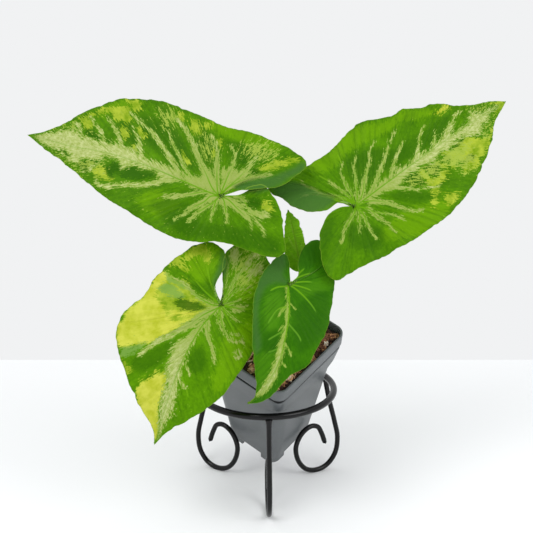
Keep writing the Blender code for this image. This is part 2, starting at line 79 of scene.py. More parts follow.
# Where the legs stand round the ring, in degrees
LEG_AZIMUTHS = {"front": -87.5, "right": 28.8, "left": 146.1}
WELD_FLARE = [                 # depth below the leg's upper end, radius
    (-1.6, 1.2), (-1.2, 2.2), (-0.7, 2.6), (-0.2, 2.65), (0.4, 2.55), (1.1, 2.36),
    (1.9, 2.2), (2.8, 2.08), (3.8, 2.0), (4.8, 1.95), (5.4, 1.85), (5.7, 1.6)]
LEG_ROUTE = [                  # distance from the ring's axis, height
    (50.6, 75.5), (54.3, 57.8), (59.3, 39.0), (62.2, 25.0), (60.4, 12.5), (53.5, 4.2),
    (44.2, 1.75), (34.8, 4.6), (27.9, 13.2), (25.8, 24.8), (30.9, 34.9), (38.8, 39.1),
    (44.6, 37.4), (48.2, 31.0), (51.1, 22.6)]

# Pot
POT_HEIGHT = 118.0
POT_RIM_SIDE = 75.0
POT_BASE_SIDE = 46.0
POT_WALL = 1.2
POT_BAND = 13.5                # height of the straight band round the rim
POT_LIP = 10.6                 # depth of the rim's lip, down to the gap under it
POT_GAP = 4.2                  # height of that gap
POT_BAND_STEP = 4.0            # how much narrower the body is than the rim
POT_SHOULDER = 15.0            # from the band down to where the corners are full
POT_SHOULDER_RISE = 4.5        # height over which the corners fill out under the shoulder
POT_FOOT = 8.0
POT_FOOT_ARM = 14.0            # how far a foot runs along each side
POT_FOOT_INSET = 3.4           # how much narrower the feet are at the floor
POT_FOOT_WALL = 2.2
POT_PLACE = (2.8, 35.7, 25.7)  # middle of its base
POT_TURN = (29.7, -1.9, 5.4)   # its lean, in degrees
DRAIN_RADIUS = 3.6
DRAIN_SPREAD = 13.0
GROOVE_ROWS = (21, 28)         # rows of the pot's skin that lie in the gap under its rim band
MIX_DROP = 7.5                 # from the rim down to the bed
STEM_SINK = 12.0               # how deep stalks and crown go into the bed

# Plant
CROWN_PLACE = (3.8, -20.5)
CROWN_RADIUS = 4.2
CROWN_RISE = 13.0
PETIOLE_RADIUS = 1.45          # of a stalk
PETIOLE_BASE = 2.1             # of a stalk at its foot
BLADE_THICKNESS = 0.55         # of a blade between its veins
RIB_THICKNESS = 2.1            # of a blade along its midrib
SINUS_ANGLE = math.radians(22)  # least angle between the gap and a lobe's rows
BLADE_NET = (300, 40)          # a grown blade's steps from tip to sinus, and from midrib to margin
YOUNG_NET = (120, 16)
MARGIN_LENGTH = 2.2            # a margin's length, for a blade of length 1

# Each blade lies flat in its own millimetres, from the point where its stalk joins it: first number
# along the midrib towards the tip, second to the side. first and second are its margins on either
# side of the midrib, from tip to sinus, and corners are the pointed scallops on them with their rise.
# cream, lime, gold, grey, speckled, island (green within cream), a margin turned down, and lighter and
# darker greens are outlines of its patches. The turned-down margin is painted shade, and the lighter
# and darker greens are partly the blade's own tone and partly painted light and painted shade, where it
# faces towards or away from the lamps. streaks and gold_streaks are tapering lines along veins, each
# with its width at start and end in pixels of the photograph, and veins are plain ones. tone says how
# light its green is, and flecks how far pale flecks spread over it.
BLADES = {}
BLADES["upper_left"] = dict(
    junction=(-31, -36, 234), turn=(-53, -12, 159), length=148, reach=50, arch=9, fold=0.1, roll=8,
        lap=-1.6, wave=0.9, waves=9, sinus=(-2.6, -1.7), tone=0.45, flecks=5.5,
    midrib=[(148, 1), (111, 1), (82, -2), (53, -2), (32, -1), (12, 0), (0, 0)],
    first=[(132, 7), (105, 16), (75, 27), (44, 34), (18, 38), (0, 34), (-15, 28), (-33, 27), (-47, 25),
        (-53, 19), (-48, 8), (-39, -8), (-31, -15), (-23, -17.5), (-16.5, -13), (-11, -6)],
    second=[(134, -5), (115, -22), (98, -38), (74, -48), (47, -50), (18, -48), (-8, -51), (-32, -49),
        (-44, -45), (-43, -36), (-35, -22), (-25, -16), (-17, -11), (-11, -8.5)],
    cream=[[(143, 1), (135, -4), (129, -6), (122, -9), (116, -11), (107, -9), (94, -8), (86, -9),
        (75, -10), (69, -11), (59, -7), (43, -7), (31, -6), (25, -5), (18, -7), (11, -8), (5, -6),
        (0, 0), (8, 0), (20, 1), (24, -1), (31, 1), (37, 4), (44, 3), (46, 0), (55, 1), (63, 1),
        (68, 6), (74, 1), (80, 1), (84, 0), (85, 4), (88, 11), (92, 16), (100, 13), (107, 12), (118, 7),
        (125, 7), (135, 5)], [(17, -6), (16, -10), (14, -15), (11, -14), (8, -11), (4, -8), (2, -4),
        (7, -2), (13, -3)], [(1, -10), (5, -15), (4, -19), (1, -18), (-1, -22), (-5, -20), (-9, -24),
        (-14, -23), (-10, -16), (-5, -11), (-3, -7)], [(-20, 1), (-25, 0), (-29, -2), (-35, -1),
        (-32, 3), (-27, 4), (-21, 4)], [(8, 5), (4, 7), (0, 4), (-4, 6), (-8, 4), (-13, 3), (-18, 1),
        (-14, -2), (-8, -3), (0, -2), (5, 1)]],
    streaks=[(4, 4, [(106, -6), (110, -13), (114, -16)]), (4, 2, [(86, -5), (92, -13), (97, -17),
        (106, -23)]), (5, 1.5, [(74, -8), (82, -17), (89, -23), (95, -28)]), (5, 2, [(59, -7),
        (66, -17), (74, -25)]), (5, 2, [(33, -7), (48, -18), (61, -26), (73, -31), (80, -34)]), (7, 3,
        [(6, -3), (14, -11), (25, -22), (34, -31), (41, -37), (47, -40)]), (3, 1.2, [(24, -6),
        (32, -13), (40, -20), (46, -26), (51, -31)]), (7, 2, [(2, -2), (7, -13), (11, -24), (15, -32),
        (21, -38)]), (6, 1.5, [(0, -6), (0, -16), (0, -24), (2, -32), (7, -36)]), (7, 2, [(-2, -6),
        (-7, -16), (-11, -26), (-13, -36)]), (7, 3, [(-4, -9), (-13, -18), (-21, -23), (-26, -27)]),
        (5, 4, [(29, -1), (40, 5), (51, 12), (61, 15), (70, 19), (75, 22), (82, 21)]), (4, 4, [(8, 0),
        (18, 6), (26, 11), (33, 14)]), (7, 2, [(5, 2), (8, 8), (13, 14), (16, 20), (21, 26)]), (4, 2.5,
        [(3, 7), (8, 15), (12, 24)]), (5, 1.2, [(1, 3), (0, 11), (-1, 18)]), (6, 1.2, [(-3, 1), (-8, 9),
        (-11, 15)]), (8, 1.5, [(-6, 0), (-13, 3), (-18, 5), (-24, 7), (-27, 12)]), (6, 1, [(-8, -4),
        (-13, -5), (-19, -1), (-27, 5), (-34, 10), (-37, 14)])],
    speckled=[[(134, -3), (125, -9), (116, -16), (110, -13), (100, -8), (94, -7), (102, -2), (112, 0),
        (124, 0), (132, 0)], [(129, 6), (117, 6), (104, 7), (89, 4), (82, 6), (87, 16), (97, 16),
        (110, 12), (121, 8)], [(61, -42), (51, -45), (47, -40), (47, -32), (53, -31), (58, -36)],
        [(27, -35), (21, -38), (13, -23), (19, -19)], [(0, -36), (-11, -47), (-22, -45), (-22, -35),
        (-9, -31)]],
    lime=[[(98, -33), (91, -36), (84, -38), (80, -35), (77, -30), (77, -26), (83, -27), (89, -26),
        (93, -30), (98, -29)], [(115, -17), (111, -22), (106, -25), (102, -31), (99, -33), (99, -29),
        (103, -25), (106, -22), (111, -18)], [(112, -18), (106, -21), (102, -20), (101, -16),
        (104, -13), (108, -15)], [(87, -42), (83, -45), (78, -44), (75, -42), (75, -37), (79, -37),
        (81, -40), (84, -40)], [(81, -22), (78, -23), (74, -20), (74, -16), (76, -15), (79, -17)],
        [(72, -25), (69, -26), (65, -23), (62, -22), (63, -19), (66, -20), (69, -22)], [(70, -12),
        (66, -12), (63, -10), (65, -8), (68, -10)], [(90, 12), (84, 8), (79, 10), (75, 14), (71, 15),
        (76, 17), (82, 16), (87, 15)], [(49, -46), (46, -47), (43, -41), (45, -39)], [(39, -43),
        (35, -45), (30, -40), (28, -36), (32, -35), (36, -37)], [(17, -36), (14, -38), (12, -33),
        (13, -30)], [(17, -29), (14, -30), (12, -24), (15, -23)], [(-17, -26), (-20, -32), (-25, -37),
        (-33, -43), (-39, -45), (-35, -40), (-30, -35), (-24, -29)], [(-27, -3), (-27, -6), (-29, -9),
        (-34, -7), (-34, -3), (-30, -3)], [(35, -19), (30, -16), (27, -14), (27, -12), (32, -14)],
        [(29, -44), (25, -46), (23, -42), (27, -41)]],
    island=[[(100, 9), (93, 6), (85, 4), (87, 9), (90, 13), (91, 18), (97, 15), (102, 12)], [(79, 8),
        (77, 4), (73, 2), (70, 3), (69, 7), (73, 10), (72, 14), (77, 12)], [(68, 9), (64, 3), (59, 3),
        (54, 4), (48, 2), (44, 1), (48, 5), (52, 9), (60, 11), (66, 12)], [(107, -12), (102, -14),
        (97, -13), (91, -9), (97, -8), (103, -9)], [(120, 5), (113, 5), (107, 9), (114, 9)],
        [(-11, -22), (-15, -27), (-19, -25), (-15, -21)], [(-16, -3), (-19, -7), (-25, -8), (-27, -4),
        (-23, 0), (-18, 0)]],
    curl=[[(-6, -10), (-12, -15), (-20, -21), (-29, -27), (-36, -35), (-42, -44), (-44, -43),
        (-43, -36), (-38, -29), (-34, -22), (-28, -17), (-22, -13), (-16, -11), (-10, -9)]],
    light=[[(104, -28), (96, -37), (85, -43), (75, -46), (77, -39), (88, -34), (97, -26)], [(51, 23),
        (44, 13), (30, 12), (21, 16), (31, 28), (42, 27)], [(31, -49), (13, -50), (-6, -52), (-25, -49),
        (-23, -43), (-8, -42), (6, -41), (20, -41)]],
    deep=[[(40, 23), (33, 15), (15, 13), (5, 22), (-14, 16), (-35, 12), (-49, 16), (-48, 22), (-32, 26),
        (-15, 27), (1, 32), (15, 33), (26, 30)], [(74, -32), (66, -36), (52, -36), (39, -29), (24, -17),
        (19, -10), (28, -11), (40, -11), (54, -14), (64, -19)], [(30, -39), (18, -37), (13, -23),
        (16, -16), (26, -24)], [(11, -39), (-2, -40), (-11, -34), (-7, -26), (2, -27)], [(84, -4),
        (84, -26), (77, -28), (61, -11), (65, -10), (74, -14), (84, -18)], [(83, 10), (68, 2), (47, -1),
        (44, 4), (61, 9), (78, 13)]])
BLADES["upper_right"] = dict(
    junction=(61, -23, 223), turn=(47, -25, 31), length=141, reach=50, arch=6, fold=0.12, roll=8,
        lap=0.0, wave=1.1, waves=10, sinus=(-2.2, 2.1), tone=0.5, flecks=3.5, corners=[(39, 46, 2.4),
        (71, 35, 2.8), (91, 27, 2.0)],
    midrib=[(141, -1), (107, 0), (76, 0), (53, 0), (26, 0), (0, 0)],
    first=[(129, 6), (116, 10), (98, 22), (79, 31), (61, 37), (39, 45), (11, 42), (-7, 43), (-27, 49),
        (-37, 48), (-36, 36), (-29, 19), (-18, 10), (-7, 9)],
    second=[(134, -4), (122, -9), (109, -19), (92, -29), (72, -38), (51, -43), (25, -43), (-2, -40),
        (-26, -35), (-43, -32), (-43, -20), (-33, -3), (-20, 6), (-9, 6)],
    cream=[[(0, 2), (8, 2), (17, 2), (27, 3), (32, 1), (36, 3), (42, 3), (49, 2), (54, 3), (61, 7),
        (60, 3), (63, 2), (68, 1), (72, 3), (76, 6), (75, 3), (79, 3), (83, 4), (88, 6), (88, 2),
        (92, 1), (98, 1), (104, 1), (110, 6), (113, 6), (115, 3), (119, 2), (124, 2), (129, 1),
        (135, 0), (130, -2), (123, -2), (118, -6), (112, -6), (107, -10), (101, -10), (95, -6),
        (90, -5), (84, -6), (78, -7), (73, -5), (67, -7), (61, -7), (55, -5), (49, -6), (43, -5),
        (37, -6), (34, -7), (27, -6), (21, -4), (16, -3), (10, -1), (4, 0)]],
    streaks=[(3, 0.8, [(4, 3), (12, 15), (17, 23), (25, 30)]), (5, 1, [(8, 3), (17, 11), (27, 19),
        (33, 25), (40, 29)]), (5, 1, [(15, 1), (27, 8), (38, 15), (47, 21), (56, 26)]), (4, 0.8,
        [(32, 1), (38, 6), (44, 10), (56, 17)]), (4, 1, [(54, 1), (62, 7), (70, 14), (76, 17)]),
        (4, 0.8, [(70, 0), (75, 5), (80, 10)]), (7, 2, [(82, 0), (93, 7), (102, 11), (106, 11)]), (3, 1,
        [(107, 3), (113, 6)]), (4, 1, [(29, -5), (36, -12), (43, -18), (51, -22), (57, -24)]), (5, 2,
        [(10, -3), (19, -12), (25, -22), (30, -28), (35, -30)]), (4, 1.5, [(6, -7), (7, -15), (9, -22),
        (10, -30)]), (3, 1.2, [(1, -7), (-2, -16), (-3, -23), (-3, -27)]), (3, 0.8, [(0, -4), (-6, -12),
        (-9, -16)]), (1.5, 1, [(8, -12), (16, -20), (20, -28)]), (3.4, 2.2, [(-3, -3), (-8, -5),
        (-14, -7), (-18, -10), (-23, -14)]), (2.6, 0.7, [(3, 7), (4, 13), (5, 19), (7, 24), (12, 30)]),
        (2.6, 1, [(1, 7), (0, 13), (-2, 19), (-3, 25)]), (1.3, 0.8, [(-1, 8), (-5, 13), (-10, 18)]),
        (1.6, 1, [(-2, 7), (-7, 13), (-13, 21), (-17, 25), (-24, 28)]), (1.4, 0.8, [(-13, 21),
        (-14, 26), (-17, 31), (-18, 37)])],
    gold_streaks=[(1.5, 1.5, [(88, 20), (94, 19), (100, 19)])],
    veins=[[(0, 0), (-8, 12), (-20, 28), (-30, 40)], [(-3, 25), (-7, 36)], [(12, 30), (15, 40)]],
    speckled=[[(72, -4), (92, -5), (91, -16), (90, -23), (80, -28), (70, -18), (47, -16), (35, -7),
        (52, -5)], [(113, 9), (126, 5), (123, 0), (113, 2)], [(112, -3), (122, -4), (114, -12),
        (106, -14)]],
    lime=[[(94, -6), (99, -9), (103, -13), (106, -16), (110, -15), (115, -12), (118, -11), (115, -14),
        (109, -18), (103, -21), (97, -24), (92, -25), (88, -28), (84, -28), (78, -27), (76, -25),
        (78, -21), (81, -19), (78, -17), (75, -17), (73, -20), (70, -18), (73, -14), (73, -10),
        (71, -6), (74, -5), (78, -7), (81, -9), (86, -7), (90, -7)], [(51, -6), (55, -8), (54, -12),
        (54, -15), (57, -18), (60, -18), (63, -16), (67, -17), (68, -19), (65, -21), (60, -22),
        (56, -23), (53, -23), (50, -21), (49, -18), (49, -14), (49, -10)], [(66, -9), (69, -13),
        (70, -17), (67, -17), (64, -14)], [(50, -21), (54, -23), (53, -26), (49, -28), (47, -26),
        (47, -23)], [(46, -28), (48, -30), (43, -33), (41, -31)], [(52, -32), (56, -32), (63, -36),
        (59, -38), (53, -38), (52, -36)], [(87, 20), (93, 20), (100, 21), (101, 18), (95, 17),
        (90, 18)], [(129, 4), (140, 0), (136, -4), (129, -4), (126, -3), (133, -1)]],
    island=[[(83, -18), (87, -17), (91, -20), (87, -23), (82, -22), (78, -21)], [(53, -6), (60, -7),
        (65, -10), (64, -14), (60, -16), (54, -14), (54, -10)], [(37, -6), (45, -4), (49, -7),
        (49, -15), (49, -17), (43, -15), (38, -10)], [(72, -7), (75, -11), (73, -14), (70, -11)],
        [(82, -8), (88, -5), (94, -6), (91, -8), (84, -10)]],
    curl=[[(-35, 47), (-27, 44), (-19, 36), (-13, 23), (-8, 13), (-16, 11), (-26, 14), (-31, 21),
        (-37, 30), (-38, 38)]],
    light=[[(-10, 47), (12, 42), (28, 46), (40, 44), (55, 36), (69, 35), (85, 27), (93, 20), (77, 23),
        (64, 29), (50, 29), (38, 31), (22, 33), (3, 31), (-5, 35)], [(7, -23), (35, -26), (52, -38),
        (39, -44), (19, -41), (6, -35), (-1, -28)]],
    deep=[[(-26, 4), (-20, 5), (-15, 4), (-21, -3), (-29, -9), (-36, -16), (-41, -17), (-38, -9),
        (-31, -1)], [(15, 30), (26, 28), (35, 26), (42, 20), (48, 16), (63, 15), (75, 15), (89, 15),
        (97, 13), (87, 6), (68, 2), (52, 4), (40, 7), (27, 7), (15, 8), (9, 17)], [(-12, -7), (-1, -17),
        (3, -28), (-5, -33), (-16, -27), (-19, -16)], [(21, -6), (34, -12), (51, -29), (43, -28),
        (26, -16)]])
BLADES["lower_left"] = dict(
    junction=(-30, -58, 164), turn=(-60, 59, -147), length=104, reach=50, arch=9, fold=0.1, roll=8,
        lap=-1.6, wave=0.8, waves=8, sinus=(-2.6, -1.7), tone=0.7, flecks=4.5,
    midrib=[(104, 0), (88, -3), (71, -6), (51, -8), (33, -8), (17, -6), (0, 0)],
    first=[(91, 4), (78, 13), (56, 25), (40, 29), (20, 32), (-5, 32), (-26, 27), (-40, 19), (-46, 6),
        (-43, -5), (-34, -11), (-25, -10), (-17, -6.5), (-9, -2.5)],
    second=[(94, -6), (82, -23), (63, -43), (48, -55), (31, -57), (17, -50), (4, -48), (-16, -41),
        (-33, -28), (-36, -20), (-32, -11), (-25, -8), (-15, -9.5), (-8, -8)],
    cream=[[(2, -1), (7, -3), (13, -5), (18, -4), (23, -6), (27, -7), (33, -7), (38, -8), (44, -6),
        (48, -7), (53, -5), (59, -4), (65, -2), (71, -1), (76, 0), (82, 1), (87, 0), (93, 1), (103, 1),
        (95, -2), (88, -5), (80, -8), (74, -10), (68, -11), (62, -12), (56, -14), (53, -16), (47, -17),
        (42, -18), (36, -18), (30, -15), (26, -11), (19, -10), (12, -7), (5, -4)], [(-1, 7), (-5, 9),
        (-6, 13), (-7, 16), (-4, 15), (-1, 12), (0, 8)], [(-37, -11), (-39, -7), (-41, -3), (-37, -2),
        (-31, -1), (-26, -2), (-29, -6), (-31, -8)], [(-41, 5), (-44, 8), (-45, 13), (-39, 10),
        (-34, 8), (-29, 7), (-27, 4), (-34, 5), (-38, 5)], [(-32, 10), (-36, 13), (-37, 17), (-32, 17),
        (-28, 14), (-24, 10), (-25, 8)]],
    streaks=[(9, 3, [(2, -1), (10, -8), (20, -14), (32, -23), (44, -32), (52, -36)]), (5, 2, [(14, -4),
        (23, 1), (29, 7), (37, 12)]), (4, 2, [(4, 1), (11, 6), (15, 10), (18, 16), (16, 22)]), (3, 1,
        [(4, 0), (11, 3), (15, 7)]), (4, 1.5, [(-1, 0), (-10, 1), (-21, 2), (-29, 4), (-39, 7),
        (-44, 11)]), (2, 1, [(-5, 2), (-13, 5), (-18, 11), (-19, 15)]), (2, 1, [(-1, 2), (-4, 6),
        (-9, 10)]), (2, 1, [(1, 2), (4, 11), (5, 16)]), (1.5, 1, [(14, 14), (13, 20), (17, 26)]), (2, 2,
        [(24, 21), (22, 24), (25, 26), (27, 24), (25, 22)]), (4, 2, [(2, -5), (2, -11), (1, -18),
        (-1, -25), (-3, -30), (-3, -36)]), (2, 1, [(45, -6), (50, 0)]), (2, 1, [(57, -4), (60, 2)]),
        (1.5, 1, [(78, 0), (79, 4)]), (2, 1, [(-27, -7), (-20, -4), (-10, -2)])],
    gold_streaks=[(3, 5, [(4, -4), (10, -11), (15, -20), (18, -28)])],
    veins=[[(0, 0), (-10, -12), (-22, -22), (-28, -28)], [(0, 0), (-4, -14), (-12, -32)], [(0, 0),
        (8, 10), (20, 24)], [(0, 0), (-4, 14), (-10, 28)], [(50, -8), (62, 4), (72, 10)]],
    speckled=[[(-29, -5), (-38, -3), (-41, 10), (-25, 15), (-15, 11), (-14, 5)]],
    lime=[[(0, -47), (-5, -45), (-4, -40), (-3, -34), (-5, -30), (-2, -24), (0, -17), (1, -9), (2, -2),
        (5, -4), (9, -8), (14, -11), (18, -13), (23, -17), (27, -21), (32, -24), (38, -28), (43, -32),
        (47, -38), (50, -44), (53, -50), (52, -54), (46, -57), (39, -58), (33, -56), (27, -57),
        (23, -54), (16, -52), (9, -50)], [(72, -28), (67, -27), (62, -23), (57, -20), (55, -14),
        (59, -12), (68, -10), (75, -10), (83, -7), (89, -3), (100, -1), (95, -6), (89, -14), (83, -22),
        (77, -27)], [(59, -46), (61, -43), (62, -39), (66, -36), (67, -38), (65, -41)], [(-24, -35),
        (-29, -32), (-32, -26), (-30, -23), (-23, -19), (-22, -22), (-25, -25), (-20, -31), (-16, -35),
        (-20, -36)], [(-13, -45), (-19, -39), (-14, -35), (-12, -30), (-10, -32), (-11, -38),
        (-10, -44)]],
    gold=[[(0, -47), (-5, -45), (-3, -41), (2, -40), (6, -43), (11, -43), (15, -40), (17, -35),
        (20, -32), (22, -28), (21, -21), (16, -16), (14, -11), (19, -14), (25, -19), (31, -24),
        (36, -27), (42, -33), (46, -39), (49, -44), (53, -50), (49, -54), (41, -56), (33, -55),
        (28, -55), (21, -51), (13, -50), (4, -48)], [(73, -27), (69, -26), (63, -23), (59, -19),
        (57, -14), (59, -12), (68, -10), (75, -10), (83, -7), (89, -3), (100, -1), (95, -6), (89, -14),
        (83, -22), (78, -26)]],
    grey=[[(7, -43), (3, -40), (1, -34), (3, -29), (5, -25), (8, -28), (9, -35), (8, -40)], [(-5, -44),
        (-3, -38), (-3, -33), (-3, -28), (-1, -25), (1, -29), (0, -35), (1, -39)], [(36, -27),
        (29, -22), (21, -18), (16, -11), (21, -14), (28, -18), (34, -22)], [(55, -50), (50, -44),
        (43, -35), (52, -39), (58, -46)]],
    island=[[(11, -30), (8, -28), (6, -23), (5, -16), (5, -9), (5, -6), (10, -14), (13, -22),
        (13, -26)]],
    curl=[[(-32, -14), (-31, -9), (-24, -6), (-16, -6), (-7, -7), (-11, -11), (-17, -12), (-26, -12)]],
    light=[[(-26, -35), (-33, -27), (-33, -19), (-25, -15), (-15, -15), (-8, -19), (-10, -28),
        (-19, -35)], [(20, 10), (7, 17), (0, 22), (15, 30), (26, 30), (42, 26), (54, 20), (47, 15),
        (33, 13)], [(-32, 0), (-36, 10), (-30, 17), (-18, 18), (-9, 14), (-9, 7), (-21, 6)]],
    deep=[[(-3, -29), (-5, -23), (-7, -16), (-2, -7), (1, -12), (-1, -19)], [(46, -31), (38, -24),
        (33, -18), (40, -18), (47, -19), (57, -26), (63, -33), (61, -39), (54, -38)], [(36, -6),
        (29, -1), (38, 7), (47, 5), (47, -3)], [(-12, -16), (-7, -9), (-2, -7), (-6, -14)]])
BLADES["front"] = dict(
    junction=(15, -54, 177), turn=(-44, 62, -134), length=84, reach=28, arch=13, fold=0.16, roll=4,
        lap=0.0, wave=0.7, waves=6, sinus=(-2.2, 1.2), tone=0.2, flecks=0.0,
    midrib=[(84, 0), (74, 6), (60, 9), (47, 10), (36, 9), (22, 7), (10, 4), (0, 0)],
    first=[(80, 8), (74, 13), (58, 19), (46, 29), (34, 31), (19, 34), (6, 32), (-13, 30), (-27, 26),
        (-37, 15), (-35, 7), (-27, 2.2), (-17, 2), (-9, 4.6)],
    second=[(78, 3), (63, -2), (50, -8.5), (38, -13), (22, -18), (11, -20), (-1, -19), (-14, -14),
        (-20, -8), (-16, -4), (-9, -1.5)],
    cream=[[(2, -1), (10, 2), (18, 4), (26, 6), (33, 6), (41, 6), (48, 7), (56, 7), (64, 6), (73, 3),
        (81, 1), (76, 7), (67, 11), (60, 12), (53, 11), (44, 11), (37, 9), (29, 8), (19, 6), (9, 3),
        (1, 0)]],
    streaks=[(1.6, 0.6, [(10, 3), (12, 6), (14, 9)]), (1.5, 0.6, [(14, 3), (18, 1), (22, 0)]),
        (1.8, 0.7, [(37, 9), (40, 13), (44, 16)]), (1.4, 0.6, [(27, 5), (31, 3)]), (1.6, 0.8, [(50, 12),
        (52, 15)]), (1.4, 0.6, [(51, 7), (53, 6)])],
    veins=[[(-3, 1), (-12, 11), (-16, 21)], [(-2, 2), (-6, 10), (-9, 22)], [(-1, 2), (-2, 11),
        (-1, 23)], [(0, 3), (4, 13), (11, 23), (21, 29)], [(-6, 3), (-14, 7), (-20, 12)], [(1, -1),
        (4, -7), (12, -14)], [(14, 3), (18, -2), (28, -5), (36, -6)], [(25, 9), (31, 18), (38, 22)],
        [(30, 6), (37, 0), (43, -5)], [(41, 8), (46, 2), (49, -2)]],
    curl=[[(-1, -19), (-11, -15), (-19, -9), (-15, -6), (-6, -5), (-1, -1), (1, -8), (5, -13),
        (11, -15), (19, -15), (32, -11), (44, -5), (50, -6), (39, -12), (27, -16), (14, -19),
        (5, -20)]],
    light=[[(12, -13), (6, -4), (12, 1), (24, 2), (34, -2), (27, -8)], [(54, -5), (45, 1), (50, 8),
        (63, 7), (71, 4)], [(-1, 5), (-7, 15), (-16, 25), (-10, 29), (-2, 21), (3, 9)]],
    deep=[[(8, 11), (-4, 25), (12, 32), (29, 29), (40, 21), (30, 14), (16, 10)], [(-26, 1), (-34, 10),
        (-22, 15), (-14, 9), (-17, 2)], [(37, -7), (31, 1), (39, 7), (46, 2), (46, -3)]])
BLADES["young"] = dict(
    junction=(27.9, -20, 174), turn=(-92, -73, 162), length=46, reach=9, arch=-1, fold=0.25, roll=0,
        lap=0.0, wave=0.0, waves=0, sinus=(0, 0), tone=0.75, flecks=0.0,
    midrib=[(46, 0), (35, 0.3), (25, 1.4), (14, 2), (5, 1), (0, 0)],
    first=[(41, 3.2), (36, 5.2), (29, 7.8), (22, 9.4), (15, 11), (8.5, 11), (3.5, 7.5)],
    second=[(43.5, -2), (39, -5), (35, -5.7), (30, -5.9), (24, -5.4), (18, -4.9), (10, -3.8), (4, -2)],
    streaks=[(0.9, 0.5, [(2, 1), (14, 2), (25, 1.4), (40, 0.3)])],
    veins=[[(4, 1), (14, 6), (24, 7)], [(14, 2), (26, 5), (34, 4)], [(8, 1), (20, -2), (30, -4)]])

# Each stalk's route: where it leaves the mix, then points in the stand's frame
PETIOLES = {
    "upper_left": [(-3, -18), (-4, -18, 132), (-8, -17, 155), (-14, -18, 178), (-22, -21, 202),
                   (-29, -26, 220)],
    "upper_right": [(11, -16.5), (12, -15, 134), (21, -9, 154), (35, -5, 172),
                    (49, -6, 192), (57, -13, 209)],
    "lower_left": [(-3, -25), (-5, -26, 126), (-12, -33, 138), (-20, -41, 148), (-27, -49, 156)],
    "front": [(4.5, -28.5), (5, -29, 127), (8, -31, 143), (12, -36, 158), (14, -44, 168)],
    "young": [(12, -23.5), (13, -23, 130), (17, -22, 146), (23, -20.5, 162)],
}


# Small helpers

def to_metres(p):
    """A point in the stand's millimetres, in the frame's metres."""
    return Vector(p).to_3d() * MM + STAND_ORIGIN


def hex_colour(code):
    """Linear RGBA of an sRGB hex value."""
    channels = [int(code[i:i + 2], 16) / 255 for i in (1, 3, 5)]
    return (*[c / 12.92 if c <= 0.04045 else ((c + 0.055) / 1.055) ** 2.4 for c in channels], 1.0)


def add_node(tree, kind, inputs=None, **settings):
    """Adds a node with its settings and links."""
    node = tree.nodes.new(kind)
    for key, value in settings.items():
        setattr(node, key, value)
    return fill(node, inputs or {})


def fill(node, inputs):
    """Sets a node's inputs, given by name or number, to values, or links them to the sockets given."""
    for key, value in inputs.items():
        if isinstance(value, bpy.types.NodeSocket):
            node.id_data.links.new(value, node.inputs[key])
        else:
            node.inputs[key].default_value = value
    return node


def smooth_step(x):
    x = np.clip(x, 0.0, 1.0)
    return x * x * (3 - 2 * x)


def spline(points, count):
    """Evenly spaced points along a smooth curve through the given ones."""
    pts = [Vector(p).to_3d() for p in points]
    ends = [pts[0] * 2 - pts[1]] + pts + [pts[-1] * 2 - pts[-2]]
    dense = [pts[0]]
    for a, b, c, d in zip(ends, ends[1:], ends[2:], ends[3:]):
        tb = (b - a).length ** 0.5
        tc = tb + (c - b).length ** 0.5
        td = tc + (d - c).length ** 0.5
        for i in range(1, 33):
            t = tb + (tc - tb) * i / 32
            ab = a.lerp(b, t / tb)
            bc = b.lerp(c, (t - tb) / (tc - tb))
            cd = c.lerp(d, (t - tc) / (td - tc))
            later = bc.lerp(cd, (t - tb) / (td - tb))
            dense.append(ab.lerp(bc, t / tc).lerp(later, (t - tb) / (tc - tb)))
    dense = np.array(dense)
    along = np.concatenate([[0], np.cumsum(np.linalg.norm(np.diff(dense, axis=0), axis=1))])
    even = np.linspace(0, along[-1], count + 1)
    return np.stack([np.interp(even, along, dense[:, i]) for i in range(3)], 1)


def place_of(position, turn):
    """Matrix that takes a piece's own millimetres to the frame's metres."""
    angles = Euler([math.radians(a) for a in turn], "XYZ").to_matrix().to_4x4()
    return Matrix.Translation(to_metres(position)) @ angles @ Matrix.Scale(MM, 4)


def new_object(name, mesh, *materials):
    obj = bpy.data.objects.new(name, mesh)
    bpy.context.scene.collection.objects.link(obj)
    for mat in materials:
        mesh.materials.append(mat)
    return obj


def baked(obj, name=None):
    """Swaps an object for a plain mesh of what its modifiers and place make, its origin at zero."""
    bpy.context.view_layer.update()
    shape = obj.evaluated_get(bpy.context.evaluated_depsgraph_get())
    mesh = bpy.data.meshes.new_from_object(shape)
    mesh.transform(obj.matrix_world)
    name = name or obj.name
    bpy.data.objects.remove(obj, do_unlink=True)
    mesh.name = name
    return new_object(name, mesh)


def put_in_frame(obj, slot, *nodes):
    """The piece rides on the part's one body and stands for its CAD nodes."""
    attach(obj, "root")
    if nodes:
        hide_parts(*nodes)


def new_tree(name, inputs):
    """An empty Geometry Nodes tree that takes a shape and the named inputs, and gives back a shape."""
    tree = bpy.data.node_groups.new(name, "GeometryNodeTree")
    for key, kind in {"Geometry": "Geometry", **inputs}.items():
        tree.interface.new_socket(key, in_out="INPUT", socket_type="NodeSocket" + kind)
    tree.interface.new_socket("Geometry", in_out="OUTPUT", socket_type="NodeSocketGeometry")
    add = partial(add_node, tree)
    return tree, add, add("NodeGroupInput").outputs


def end_tree(add, shape, finish):
    """The end of a tree: its instances made real, and its finish."""
    whole = add("GeometryNodeRealizeInstances", {"Geometry": shape}).outputs[0]
    coated = add("GeometryNodeSetMaterial", {"Geometry": whole, "Material": finish}).outputs[0]
    add("NodeGroupOutput", {"Geometry": coated})


# Stand: round wire, swept along its route, under a black powder coat

